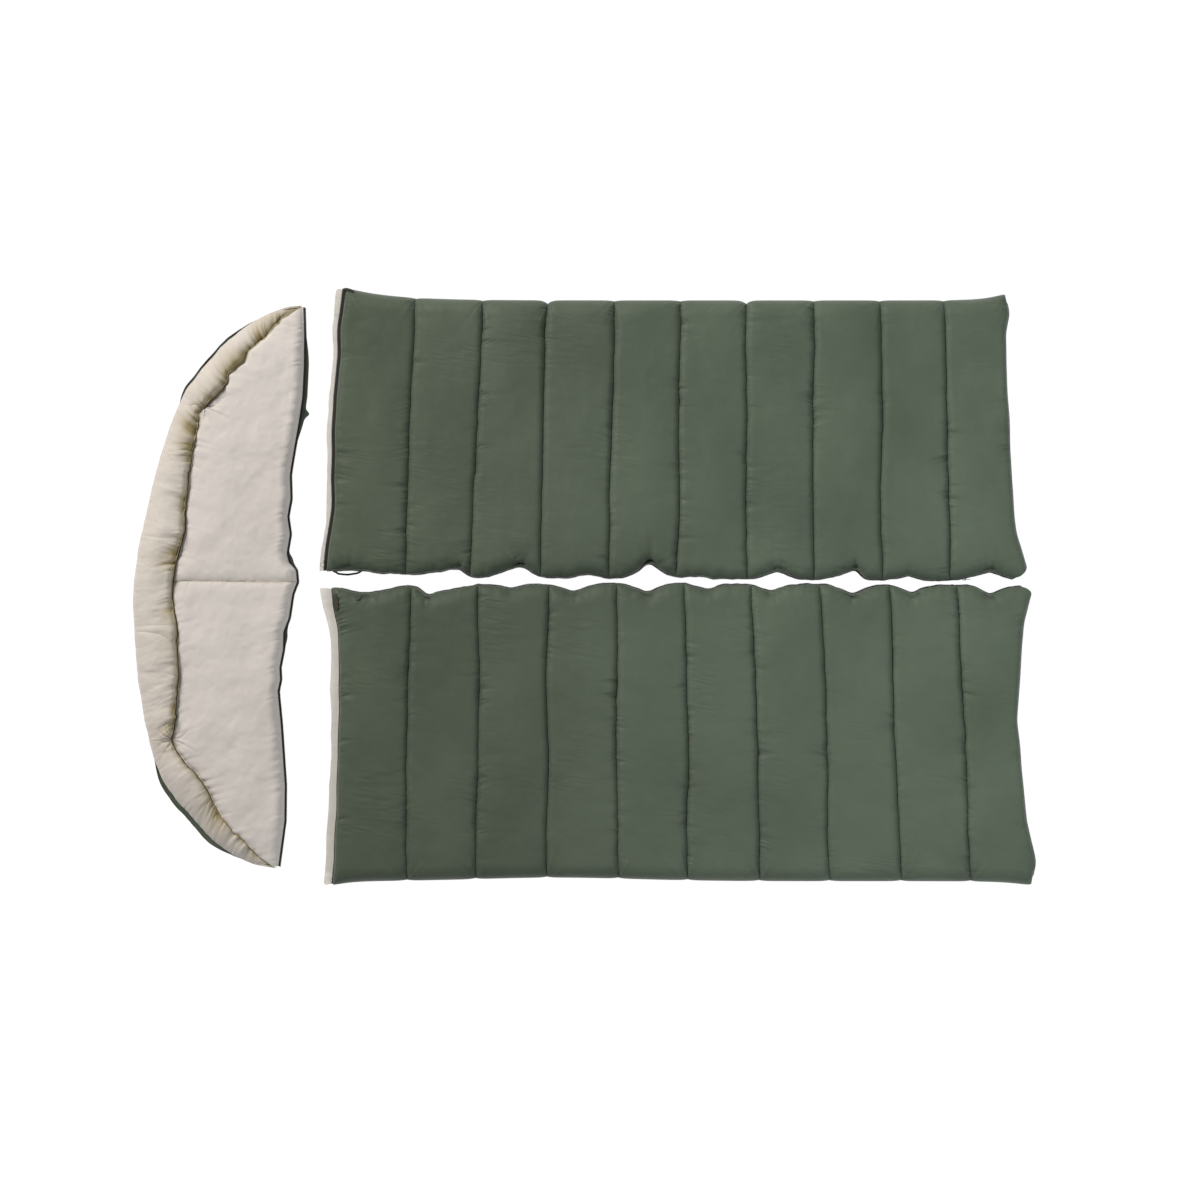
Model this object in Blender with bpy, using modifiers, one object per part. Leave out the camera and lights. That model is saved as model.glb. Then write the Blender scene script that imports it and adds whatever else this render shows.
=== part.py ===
"""Double rectangular sleeping bag in three pieces, laid out flat and ready to be zipped together.

Two single bags lie side by side with their zips facing each other, and a half-moon hood lies at
their head ends. Each bag is a quilt folded in half: a base layer, a cover layer that opens about
the fold, and a side zip round to the foot. +X runs from head to foot, +Y from bag b to bag a and
+Z is up. The origin is on the floor under the middle of the layout. Lengths are in metres.
"""

import math

import bmesh
import bpy
from mathutils import Matrix, Vector

# Layers of a bag
LOFT = 0.042            # thickness of one filled layer in the middle of a chamber
SKIN = 0.001            # shell and lining cloth
GAP = 0.0003            # air that touching pieces keep between them
SEAM_FILL = 0.002       # batting left under a quilting seam
SLEEP_GAP = 0.008       # air between the two linings of a closed bag
CHAMBERS = 10
HEAD_CHAMBER_EXTRA = 0.030
HEAD_STEP = 0.025       # a base layer reaches this far past its cover at the head end
CORNER_RADIUS = 0.035   # the zip side's foot corner
FILL_MARGIN = 0.004     # batting stops this far inside the edge of its layer
ZIP_SLOPE = 0.045       # width over which a layer thins towards its zip edge
FOLD_SLOPE = 0.036      # the same at its fold edge
EDGE_STEP = 0.010

# Outlines of the two covers, seen from above
A_FOLD_EDGE, A_ZIP_EDGE = 0.801, 0.039
B_FOLD_EDGE, B_ZIP_EDGE = -0.8017, 0.007
A_HEAD_AT_FOLD, A_HEAD_AT_ZIP = -0.6515, -0.6935
A_FOOT_AT_FOLD, A_FOOT_AT_ZIP = 1.1715, 1.2345
B_HEAD_AT_FOLD, B_HEAD_AT_ZIP = -0.6875, -0.6835
B_FOOT_AT_FOLD, B_FOOT_AT_ZIP = 1.2425, 1.2505

# Zips, as distances outwards from the edge of a layer and up from the middle plane of a bag
BINDING_REACH = (0.0003, 0.0023)
TAPE_REACH = (0.0026, 0.0034)
TAPE_RISE = (0.0031, 0.0110)
COIL_REACH = 0.0030
COIL_RISE = 0.0018
COIL_RADIUS = 0.0010
CORNER_STEPS = 6
SLIDER_LENGTH = 0.014
ZIP_END_SPACE = 0.022   # bare edge kept for a parked slider or an end fitting
FITTING_LENGTH = 0.008
A_SLIDER_X = 1.0600
B_SLIDER_X = 1.0265
PULL_LENGTH = 0.018
PULL_HALF_WIDTH = 0.0028
PULL_WIRE = 0.0007
PULL_RISE = 0.0044      # height of a pull's pivot above the line of the coils

# Head zip of bag a, the half that the hood joins
HEAD_TAPE_REACH = (0.0003, 0.0110)
HEAD_TAPE_RISE = (0.0048, 0.0056)
HEAD_COIL_REACH = 0.0123
HEAD_SLIDER_FROM_ZIP = 0.045
RING_RADIUS = 0.0056
RING_TURN = math.radians(40)

# Webbing loop at the head end of bag a's side zip, and the tape end on bag b's corner
LOOP_START_X = -0.6900
LOOP_LENGTH = 0.080
LOOP_REACH = 0.010
LOOP_RADIUS = 0.0013
TAB_LENGTH = 0.055
TAB_WIDTH = 0.014

# Hood
HOOD_TILT = math.radians(2.5)
HOOD_CENTRE = Vector((-0.8045, 0.010))   # middle of its straight edge
HOOD_HALF_LENGTH = 0.775
HOOD_DEPTH = 0.437
HOOD_LOFT = 0.044
RIM_HEIGHT = 0.064
RIM_INNER_DEPTH = 0.75  # the rim's inner edge as a share of the hood's depth
RIM_INNER_LENGTH = 0.97
HOOD_STEPS = 24         # steps along the curve from tip to tip
RIM_ROWS = 8
HOOD_HEM = 0.006        # the shell reaches this far past the rim
HOOD_ZIP_WIDTH = 0.010
PIPING_RADIUS = 0.0020

MID = LOFT + SLEEP_GAP / 2
SEAM_HEIGHT = 2 * SKIN + 2 * GAP + SEAM_FILL
OBJECT_NAME = "double_sleeping_bag"

COLOURS = {
    "green shell": ((0.105, 0.130, 0.092), 0.55, 0.0),
    "cream lining": ((0.600, 0.540, 0.470), 0.60, 0.0),
    "batting": ((0.850, 0.850, 0.830), 0.95, 0.0),
    "dark binding": ((0.022, 0.026, 0.017), 0.70, 0.0),
    "zip tape": ((0.015, 0.016, 0.012), 0.80, 0.0),
    "zip coil": ((0.010, 0.010, 0.010), 0.40, 0.0),
    "slider metal": ((0.060, 0.060, 0.055), 0.35, 0.9),
    "pull metal": ((0.300, 0.285, 0.220), 0.30, 1.0),
}


# ---------------------------------------------------------------- scene, bodies and materials

def clear_scene():
    for old in list(bpy.data.objects):
        bpy.data.objects.remove(old)


def new_collection(name):
    made = bpy.data.collections.new(name)
    bpy.context.scene.collection.children.link(made)
    return made


def material(name):
    """The Principled material of that name, made once."""
    made = bpy.data.materials.get(name)
    if made is None:
        colour, roughness, metallic = COLOURS[name]
        made = bpy.data.materials.new(name)
        made.use_nodes = True
        shader = made.node_tree.nodes["Principled BSDF"]
        shader.inputs["Base Color"].default_value = (*colour, 1.0)
        shader.inputs["Roughness"].default_value = roughness
        shader.inputs["Metallic"].default_value = metallic
    return made


def body_empty(name, place, parent=None):
    """An empty on a joint's axis that every piece of a moving body hangs from."""
    made = bpy.data.objects.new(name, None)
    made.empty_display_size = 0.05
    parts.objects.link(made)
    made.parent = parent
    bpy.context.view_layer.update()
    made.matrix_world = Matrix.Translation(place)
    bpy.context.view_layer.update()
    return made


def add(name, data, slot, body):
    """An object for that mesh or curve, drawn in world coordinates and hung from its body."""
    made = bpy.data.objects.new(name, data)
    parts.objects.link(made)
    data.materials.append(material(slot))
    made.parent = body
    made.matrix_parent_inverse = body.matrix_world.inverted()
    return made


def finished_mesh(name, bm):
    bmesh.ops.recalc_face_normals(bm, faces=bm.faces[:])
    mesh = bpy.data.meshes.new(name)
    bm.to_mesh(mesh)
    bm.free()
    return mesh


# ---------------------------------------------------------------- shapes

def slab(name, slot, body, columns, rows, place):
    """A closed slab from a flat grid: place(column, row) gives x, y and the lower and upper z."""
    bm = bmesh.new()
    bmesh.ops.create_grid(bm, x_segments=columns, y_segments=rows, size=0.5)
    bmesh.ops.triangulate(bm, faces=bm.faces[:], quad_method="FIXED")
    lower = list(bm.verts)
    made = bmesh.ops.extrude_face_region(bm, geom=bm.faces[:])
    upper = [item for item in made["geom"] if isinstance(item, bmesh.types.BMVert)]
    for vertices, level in ((lower, 0), (upper, 1)):
        for vertex in vertices:
            column = round((vertex.co.x + 0.5) * columns)
            row = round((vertex.co.y + 0.5) * rows)
            x, y, *heights = place(column, row)
            vertex.co = (x, y, heights[level])
    return add(name, finished_mesh(name, bm), slot, body)


def cuboid(bm, low, high):
    size = Vector(high) - Vector(low)
    middle = (Vector(high) + Vector(low)) / 2
    bmesh.ops.create_cube(bm, size=1.0, matrix=Matrix.Translation(middle) @ Matrix.Diagonal((*size, 1.0)))


def block(name, slot, body, low, high):
    """A plain block between two corners, with slightly rounded edges."""
    bm = bmesh.new()
    cuboid(bm, low, high)
    made = add(name, finished_mesh(name, bm), slot, body)
    rounded = made.modifiers.new("Rounded edges", "BEVEL")
    rounded.width = 0.15 * min(Vector(high) - Vector(low))
    rounded.segments = 1
    return made


def joined_blocks(name, slot, body, boxes, place):
    """Blocks that overlap, joined into one solid with Boolean unions and then placed."""
    made = None
    for number, (low, high) in enumerate(boxes):
        bm = bmesh.new()
        cuboid(bm, low, high)
        bm.transform(place)
        if made is None:
            made = add(name, finished_mesh(name, bm), slot, body)
            continue
        piece = f"{name}_piece_{number}"
        other = bpy.data.objects.new(piece, finished_mesh(piece, bm))
        cutters.objects.link(other)
        other.hide_render = True
        other.display_type = "WIRE"
        union = made.modifiers.new(f"Join {number}", "BOOLEAN")
        union.operation = "UNION"
        union.object = other
    return made


def cord(name, slot, body, points, radius, closed=False, resolution=1):
    """A round bar along a path."""
    curve = bpy.data.curves.new(name, "CURVE")
    curve.dimensions = "3D"
    spline = curve.splines.new("POLY")
    spline.points.add(len(points) - 1)
    for point, place in zip(spline.points, points):
        point.co = (*place, 1.0)
    spline.use_cyclic_u = closed
    curve.bevel_depth = radius
    curve.bevel_resolution = resolution
    curve.use_fill_caps = not closed
    return add(name, curve, slot, body)


# ---------------------------------------------------------------- outline of a layer

class Outline:
    """The four-sided outline of a layer, with its zip corner at the foot rounded off."""

    def __init__(self, head_fold, head_zip, foot_fold, foot_zip, y_fold, y_zip):
        self.head_fold = Vector((head_fold, y_fold))
        self.head_zip = Vector((head_zip, y_zip))
        self.foot_fold = Vector((foot_fold, y_fold))
        self.foot_zip = Vector((foot_zip, y_zip))
        self.to_fold = 1.0 if y_fold > y_zip else -1.0
        self.width = abs(y_fold - y_zip)
        self.length = foot_zip - head_zip

    def with_head_step(self):
        """The outline of the base layer under this cover: the same, but longer at the head."""
        return Outline(
            self.head_fold.x - HEAD_STEP,
            self.head_zip.x - HEAD_STEP,
            self.foot_fold.x,
            self.foot_zip.x,
            self.head_fold.y,
            self.head_zip.y,
        )

    def corner_centre(self):
        return self.foot_zip + Vector((-CORNER_RADIUS, self.to_fold * CORNER_RADIUS))

    def point(self, along, across, inset=0.0):
        """A place inside: along runs from head to foot, across from the zip to the fold."""
        at_zip = self.head_zip.lerp(self.foot_zip, along)
        at_fold = self.head_fold.lerp(self.foot_fold, along)
        place = at_zip.lerp(at_fold, across)
        beyond = place - self.corner_centre()
        radius = CORNER_RADIUS - inset
        if beyond.x > 0 and beyond.y * self.to_fold < 0 and beyond.length > radius:
            place = self.corner_centre() + beyond.normalized() * radius
        return place

    def zip_path(self, outwards, head_space=0.0, end_space=0.0):
        """The way of the side zip: along the side, round the corner and up the foot to the fold."""
        path = [Vector((self.head_zip.x + head_space, self.head_zip.y - self.to_fold * outwards))]
        for step in range(CORNER_STEPS + 1):
            angle = 0.5 * math.pi * step / CORNER_STEPS
            direction = Vector((math.sin(angle), -self.to_fold * math.cos(angle)))
            path.append(self.corner_centre() + direction * (CORNER_RADIUS + outwards))
        foot = self.foot_fold + Vector((outwards, 0.0)) - path[-1]
        path.append(path[-1] + foot * (1.0 - end_space / foot.length))
        return path

    def head_point(self, distance, outwards):
        """A place along the head edge: distance from the zip corner, and outwards from the edge."""
        along = (self.head_fold - self.head_zip).normalized()
        out = Vector((-along.y, along.x)) * self.to_fold
        return self.head_zip + along * distance + out * outwards


COVER_A = Outline(A_HEAD_AT_FOLD, A_HEAD_AT_ZIP, A_FOOT_AT_FOLD, A_FOOT_AT_ZIP, A_FOLD_EDGE, A_ZIP_EDGE)
COVER_B = Outline(B_HEAD_AT_FOLD, B_HEAD_AT_ZIP, B_FOOT_AT_FOLD, B_FOOT_AT_ZIP, B_FOLD_EDGE, B_ZIP_EDGE)


# ---------------------------------------------------------------- quilted layers

def chamber_stops(outline, stops, shares):
    """Grid stops along a layer, with how full the layer is at each: 0 on a seam, 1 between."""
    wide_head = HEAD_CHAMBER_EXTRA + outline.length - cover_length(outline)
    pitch = (outline.length - wide_head) / CHAMBERS
    edges = [0.0] + [(wide_head + pitch * n) / outline.length for n in range(1, CHAMBERS + 1)]
    along, full = [0.0], [0.0]
    for low, high in zip(edges, edges[1:]):
        for stop, share in zip(stops, shares):
            along.append(low + (high - low) * stop)
            full.append(share)
    return along, full


def cover_length(outline):
    """The length of the cover on the same side as this outline."""
    cover = COVER_A if outline.to_fold > 0 else COVER_B
    return cover.length


def layer_height(full, from_zip, from_fold):
    """Thickness of a layer, which thins towards the ends of its chambers."""
    zip_end = math.sin(0.5 * math.pi * min(1.0, from_zip / ZIP_SLOPE)) ** 0.8
    fold_end = math.sin(0.5 * math.pi * min(1.0, 0.35 + 0.65 * from_fold / FOLD_SLOPE))
    return SEAM_HEIGHT + (LOFT - SEAM_HEIGHT) * full * zip_end * fold_end


def quilted_slab(name, slot, body, outline, up, inner, outer, inset=0.0):
    """A sheet or batt of a layer, between two distances from the lining's inner face.

    up is 1 for a cover and -1 for a base. inner and outer take the layer's thickness.
    """
    if up > 0:
        along, full = chamber_stops(outline, (0.2, 0.5, 0.8, 1.0), (0.8, 1.0, 0.8, 0.0))
    else:
        along, full = chamber_stops(outline, (0.22, 0.78, 1.0), (1.0, 1.0, 0.0))
    width = outline.width
    across = [0.0, EDGE_STEP, ZIP_SLOPE, width - FOLD_SLOPE, width - EDGE_STEP, width]
    face = MID + up * SLEEP_GAP / 2

    def place(column, row):
        share = along[column]
        if column == 0:
            share += inset / outline.length
        if column == len(along) - 1:
            share -= inset / outline.length
        distance = min(max(across[row], inset), width - inset)
        flat = outline.point(share, distance / width, inset)
        height = layer_height(full[column], across[row], width - across[row])
        low, high = sorted((face + up * inner(height), face + up * outer(height)))
        return flat.x, flat.y, low, high

    return slab(name, slot, body, len(along) - 1, len(across) - 1, place)


def lining(name, body, outline, up):
    """The flat lining on the inner face of a layer."""
    corner = CORNER_RADIUS / outline.length
    along = (0.0, 0.5, 1.0 - corner, 1.0 - 0.35 * corner, 1.0)
    across = (0.0, 0.35 * CORNER_RADIUS, CORNER_RADIUS, 0.5 * outline.width, outline.width)
    face = MID + up * SLEEP_GAP / 2

    def place(column, row):
        flat = outline.point(along[column], across[row] / outline.width)
        low, high = sorted((face, face + up * SKIN))
        return flat.x, flat.y, low, high

    return slab(name, "cream lining", body, len(along) - 1, len(across) - 1, place)


def quilted_layer(prefix, body, outline, up):
    """The lining, batting and shell of one layer."""
    lining(f"{prefix}_lining", body, outline, up)
    quilted_slab(
        f"{prefix}_fill", "batting", body, outline, up,
        lambda height: SKIN + GAP, lambda height: height - SKIN - GAP, inset=FILL_MARGIN,
    )
    quilted_slab(
        f"{prefix}_shell", "green shell", body, outline, up,
        lambda height: height - SKIN, lambda height: height,
    )


# ---------------------------------------------------------------- side zips

def edge_ribbon(name, slot, body, cover, reach, heights, end_space):
    """An upright ribbon round the zip edge of a bag."""
    sides = [cover.zip_path(distance, 0.0, end_space) for distance in reach]
    low, high = sorted(heights)

    def place(column, row):
        return (*sides[row][column], low, high)

    return slab(name, slot, body, len(sides[0]) - 1, 1, place)


def side_zip_half(prefix, body, cover, up):
    """The edge binding, tape, coil and end fitting of one half of a side zip."""
    layer_edge = (MID + up * SLEEP_GAP / 2, MID + up * (SLEEP_GAP / 2 + SEAM_HEIGHT))
    edge_ribbon(f"{prefix}_edge_binding", "dark binding", body, cover, BINDING_REACH, layer_edge, 0.0)
    tape = (MID + up * TAPE_RISE[0], MID + up * TAPE_RISE[1])
    edge_ribbon(f"{prefix}_zip_tape", "zip tape", body, cover, TAPE_REACH, tape, ZIP_END_SPACE)
    path = cover.zip_path(COIL_REACH, ZIP_END_SPACE, ZIP_END_SPACE)
    points = [(*place, MID + up * COIL_RISE) for place in path]
    cord(f"{prefix}_zip_coil", "zip coil", body, points, COIL_RADIUS)
    end_fitting(f"{prefix}_zip_{'pin' if up > 0 else 'box'}", body, cover, up)


def end_fitting(name, body, cover, up):
    """The pin or the box that ends a side zip, on the foot edge beside the fold."""
    end = cover.zip_path(COIL_REACH, 0.0, ZIP_END_SPACE)[-1]
    near = end.y + cover.to_fold * 0.001
    far = near + cover.to_fold * FITTING_LENGTH
    z = sorted((MID + up * GAP, MID + up * 0.0037))
    low = (end.x - 0.0018, min(near, far), z[0])
    high = (end.x + 0.0022, max(near, far), z[1])
    block(name, "zip coil", body, low, high)


def slider(name, body, place):
    """A zip slider: inner plate, divider, outer plate and the bail that its pull hangs from.

    It is drawn with the zip along X, the coils either side of z = 0 and outwards towards -Y.
    """
    half = SLIDER_LENGTH / 2
    boxes = (
        ((-half, -0.0026, -0.0045), (half, -0.0014, 0.0045)),
        ((-half + 0.0006, -0.0020, -0.0005), (half - 0.0006, 0.0018, 0.0005)),
        ((-half, 0.0014, -0.0030), (half, 0.0024, 0.0030)),
        ((-0.0042, -0.0068, -0.0010), (-0.0028, -0.0022, 0.0010)),
        ((0.0028, -0.0068, -0.0010), (0.0042, -0.0022, 0.0010)),
        ((-0.0044, -0.0074, -0.0012), (0.0044, -0.0056, 0.0012)),
    )
    return joined_blocks(name, "slider metal", body, boxes, place)


def pull_loop(name, body, place):
    """A long wire pull whose cross end passes under the slider's bail, drawn along +X."""
    wide = PULL_HALF_WIDTH
    outline = [(0.0, -wide), (0.0, wide), (0.5 * PULL_LENGTH, 1.1 * wide)]
    outline += [(0.92 * PULL_LENGTH, wide), (PULL_LENGTH, 0.0), (0.92 * PULL_LENGTH, -wide)]
    outline += [(0.5 * PULL_LENGTH, -1.1 * wide)]
    points = [place @ Vector((x, -PULL_RISE, z)) for x, z in outline]
    return cord(name, "pull metal", body, points, PULL_WIRE, closed=True)


def side_slider(prefix, base_body, cover, x):
    """A slider on the straight run of a side zip, with its pull lying along the edge."""
    middle = Vector((x, cover.head_zip.y - cover.to_fold * COIL_REACH, MID))
    turn = Matrix.Identity(4) if cover.to_fold > 0 else Matrix.Rotation(math.pi, 4, "X")
    place = Matrix.Translation(middle) @ turn
    slider_body = body_empty(f"{prefix}_slider_body", middle, base_body)
    slider(f"{prefix}_slider", slider_body, place)
    pivot = place @ Vector((0.0, -PULL_RISE, 0.0))
    pull_body = body_empty(f"{prefix}_pull_body", pivot, slider_body)
    pull_loop(f"{prefix}_slider_pull", pull_body, place)


# ---------------------------------------------------------------- head zip of bag a

def head_zip(body):
    """Half of the zip that joins the hood: a tape on the head edge of cover a, and its coil."""
    length = (COVER_A.head_fold - COVER_A.head_zip).length

    def place(column, row):
        flat = COVER_A.head_point(length * column, HEAD_TAPE_REACH[row])
        return flat.x, flat.y, MID + HEAD_TAPE_RISE[0], MID + HEAD_TAPE_RISE[1]

    slab("bag_a_head_zip_tape", "zip tape", body, 1, 1, place)
    height = MID + sum(HEAD_TAPE_RISE) / 2
    stops = (ZIP_END_SPACE, length - 0.005)
    ends = [COVER_A.head_point(distance, HEAD_COIL_REACH) for distance in stops]
    cord("bag_a_head_zip_coil", "zip coil", body, [(*end, height) for end in ends], COIL_RADIUS)


def head_slider(body):
    """The head zip's slider near its zip corner, with a pull of two rings turned outwards."""
    height = MID + sum(HEAD_TAPE_RISE) / 2
    flat = COVER_A.head_point(HEAD_SLIDER_FROM_ZIP, HEAD_COIL_REACH + COIL_RISE)
    middle = Vector((*flat, height))
    edge = (COVER_A.head_fold - COVER_A.head_zip).normalized()
    zip_way = Vector((-edge.x, -edge.y, 0.0))
    outwards = Vector((0.0, 0.0, -1.0))
    inwards = zip_way.cross(outwards)
    turn = Matrix((zip_way, outwards, inwards)).transposed().to_4x4()
    place = Matrix.Translation(middle) @ turn
    slider_body = body_empty("bag_a_head_slider_body", middle, body)
    slider("bag_a_head_slider", slider_body, place)
    pivot = place @ Vector((0.0, -PULL_RISE, 0.0))
    pull_body = body_empty("bag_a_head_pull_body", pivot, slider_body)
    turned = place @ Matrix.Rotation(RING_TURN, 4, "Y")
    ring("bag_a_head_pull_ring", pull_body, turned, 0.0)
    ring("bag_a_head_pull_end_ring", pull_body, turned, 2 * (RING_RADIUS + PULL_WIRE) + GAP)


def ring(name, body, place, start, segments=12):
    """A round ring in line with a slider's bail, from a distance out of the bail's middle."""
    points = []
    for number in range(segments):
        angle = 2 * math.pi * number / segments
        x = start + RING_RADIUS * (1 - math.cos(angle))
        z = RING_RADIUS * math.sin(angle)
        points.append(place @ Vector((x, -PULL_RISE, z)))
    return cord(name, "pull metal", body, points, PULL_WIRE, closed=True)


# ---------------------------------------------------------------- small trim

def webbing_loop(body):
    """A loop of cord sewn under the zip edge of base a, by the head: it hangs out and down."""
    points = []
    steps = 14
    for step in range(steps + 1):
        share = step / steps
        swing = math.sin(math.pi * share)
        x = LOOP_START_X + LOOP_LENGTH * share
        y = A_ZIP_EDGE - 0.002 - LOOP_REACH * swing
        z = MID - TAPE_RISE[1] - 0.002 - 0.020 * swing
        points.append((x, y, z))
    cord("bag_a_webbing_loop", "zip tape", body, points, LOOP_RADIUS, resolution=2)


def corner_tape_end(body):
    """The folded tape end on the zip corner of cover b's head edge."""
    def place(column, row):
        flat = COVER_B.head_point(TAB_LENGTH * column, HEAD_TAPE_REACH[0] + TAB_WIDTH * row)
        return flat.x, flat.y, MID + HEAD_TAPE_RISE[0], MID + HEAD_TAPE_RISE[1]

    slab("bag_b_corner_tape_end", "dark binding", body, 1, 1, place)


# ---------------------------------------------------------------- bags

def bag(prefix, cover, base_body, slider_x):
    """One single bag: a base layer, a cover on its hinge empty at the fold, and a side zip."""
    quilted_layer(f"{prefix}_base", base_body, cover.with_head_step(), -1.0)
    side_zip_half(f"{prefix}_base", base_body, cover, -1.0)
    hinge = Vector((0.0, cover.head_fold.y + cover.to_fold * GAP, MID))
    cover_body = body_empty(f"{prefix}_cover_body", hinge, base_body)
    quilted_layer(f"{prefix}_cover", cover_body, cover, 1.0)
    side_zip_half(f"{prefix}_cover", cover_body, cover, 1.0)
    side_slider(prefix, base_body, cover, slider_x)
    return cover_body


# ---------------------------------------------------------------- hood

def hood_point(depth, along):
    """A place on the hood: depth from its straight edge, and along that edge from its middle."""
    edge = Vector((math.sin(HOOD_TILT), math.cos(HOOD_TILT)))
    away = Vector((-math.cos(HOOD_TILT), math.sin(HOOD_TILT)))
    return HOOD_CENTRE + away * depth + edge * along


def hood_curve(step, depth_share=1.0, length_share=1.0):
    """A place on an ellipse of the hood, as depth and along, for a step from tip to tip."""
    angle = math.pi * (step / HOOD_STEPS - 0.5)
    depth = HOOD_DEPTH * depth_share * math.cos(angle)
    return depth, HOOD_HALF_LENGTH * length_share * math.sin(angle)


def hood_shell(body):
    """The flat outer cloth that the whole hood is built on."""
    def place(column, row):
        depth, along = hood_curve(row)
        reach = depth + HOOD_HEM
        start = -0.004
        flat = hood_point(start + (reach - start) * column / 4, along)
        return flat.x, flat.y, 0.0, SKIN

    slab("hood_shell", "green shell", body, 4, HOOD_STEPS, place)


def rim_section(step, share, shrink):
    """A place on the padded rim's half-round section, as x, y, z."""
    inner_depth, inner_along = hood_curve(step, RIM_INNER_DEPTH, RIM_INNER_LENGTH)
    outer_depth, outer_along = hood_curve(step)
    inner = hood_point(inner_depth, inner_along)
    outer = hood_point(outer_depth, outer_along)
    width = (outer - inner).length
    middle = inner.lerp(outer, 0.5)
    across = (outer - inner).normalized()
    half = 0.5 * width - shrink
    height = min(RIM_HEIGHT, 0.9 * width) - shrink
    angle = math.pi * share
    flat = middle - across * half * math.cos(angle)
    return flat.x, flat.y, height * math.sin(angle)


def rim_cover(body):
    """The lining cloth over the padded rim: an arch from tip to tip."""
    bm = bmesh.new()
    first, last = 1, HOOD_STEPS - 1
    bmesh.ops.create_grid(bm, x_segments=last - first, y_segments=RIM_ROWS, size=0.5)
    for vertex in bm.verts:
        step = first + round((vertex.co.x + 0.5) * (last - first))
        share = round((vertex.co.y + 0.5) * RIM_ROWS) / RIM_ROWS
        x, y, z = rim_section(step, share, 0.0)
        vertex.co = (x, y, SKIN + 2 * GAP + z)
    mesh = bpy.data.meshes.new("hood_rim_cover")
    bm.to_mesh(mesh)
    bm.free()
    if mesh.polygons[len(mesh.polygons) // 2].normal.z < 0:
        mesh.flip_normals()
    made = add("hood_rim_cover", mesh, "cream lining", body)
    thick = made.modifiers.new("Cloth", "SOLIDIFY")
    thick.thickness = SKIN
    thick.offset = -1.0


def rim_fill(body):
    """The roll of batting inside the rim."""
    first, last = 2, HOOD_STEPS - 2

    def place(column, row):
        x, y, z = rim_section(first + column, row / RIM_ROWS, 2.5 * SKIN)
        return x, y, SKIN + 2 * GAP, SKIN + 2 * GAP + max(z, SKIN)

    slab("hood_rim_fill", "batting", body, last - first, RIM_ROWS, place)


def hood_panel(side, body):
    """One half of the hood's middle: batting and the lining over it, up to the centre seam."""
    first, last = HOOD_STEPS // 2, HOOD_STEPS - 2
    columns = (0.0, 0.08, 0.25, 0.5, 0.75, 0.92, 1.0)
    seam_gap = 0.002

    def place(column, row, bottom, top, inset):
        step = first + row
        depth, along = hood_curve(step, RIM_INNER_DEPTH, RIM_INNER_LENGTH)
        along = max(along, seam_gap + inset)
        if row == last - first:
            along -= inset
        reach = depth - 0.003
        start = min(max(columns[column] * reach, inset), reach - inset)
        flat = hood_point(start, side * along)
        rise_depth = math.sin(math.pi * min(1.0, columns[column])) ** 0.5 if 0 < column < 6 else 0.0
        rise_along = (0.0, 0.75, 1.0)[min(row, 2)] * (0.0, 0.75, 1.0)[min(last - first - row, 2)]
        height = SEAM_HEIGHT + (HOOD_LOFT - SEAM_HEIGHT) * rise_depth * rise_along
        return flat.x, flat.y, bottom(height), top(height)

    name = "left" if side < 0 else "right"
    floor = SKIN + GAP
    slab(
        f"hood_{name}_fill", "batting", body, len(columns) - 1, last - first,
        lambda column, row: place(
            column, row, lambda height: floor, lambda height: height - SKIN - GAP, FILL_MARGIN),
    )
    slab(
        f"hood_{name}_lining", "cream lining", body, len(columns) - 1, last - first,
        lambda column, row: place(
            column, row, lambda height: height - SKIN, lambda height: height, 0.0),
    )


def hood_trim(body):
    """The zip half on the straight edge, and the piping round the curve."""
    start = -0.0045
    half = HOOD_HALF_LENGTH

    def tape(column, row):
        flat = hood_point(start - HOOD_ZIP_WIDTH * row, half * (2 * column - 1))
        return flat.x, flat.y, 0.0015, 0.0023

    slab("hood_zip_tape", "zip tape", body, 1, 1, tape)
    coil = [hood_point(start - HOOD_ZIP_WIDTH - COIL_RADIUS - GAP, half * end) for end in (-1.0, 1.0)]
    cord("hood_zip_coil", "zip coil", body, [(*end, 0.0019) for end in coil], COIL_RADIUS)
    piping = []
    for step in range(1, HOOD_STEPS):
        depth, along = hood_curve(step)
        stretch = 1.0 + (HOOD_HEM + 0.005) / math.hypot(depth, along)
        piping.append((*hood_point(depth * stretch, along * stretch), PIPING_RADIUS + GAP))
    cord("hood_edge_piping", "green shell", body, piping, PIPING_RADIUS)


def hood(base_body):
    body = body_empty("hood_body", Vector((*HOOD_CENTRE, 0.0)), base_body)
    hood_shell(body)
    rim_cover(body)
    rim_fill(body)
    hood_panel(-1.0, body)
    hood_panel(1.0, body)
    hood_trim(body)


# ---------------------------------------------------------------- the whole set

clear_scene()
parts = new_collection(OBJECT_NAME)
cutters = new_collection("cutters")
bag_a_body = body_empty("bag_a_base_body", Vector((0.0, 0.0, 0.0)))
cover_a_body = bag("bag_a", COVER_A, bag_a_body, A_SLIDER_X)
head_zip(cover_a_body)
head_slider(cover_a_body)
webbing_loop(bag_a_body)
bag_b_body = body_empty("bag_b_base_body", Vector((0.0, B_ZIP_EDGE, 0.0)), bag_a_body)
cover_b_body = bag("bag_b", COVER_B, bag_b_body, B_SLIDER_X)
corner_tape_end(cover_b_body)
hood(bag_a_body)
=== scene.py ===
"""Looks of the double sleeping bag: quilted cloth, linings, zips and the half-moon hood.

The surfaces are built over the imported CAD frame: a bag's on the corners of its linings, and the hood's
lines from the straight side of its shell. Lengths are in metres.
"""

import math

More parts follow.
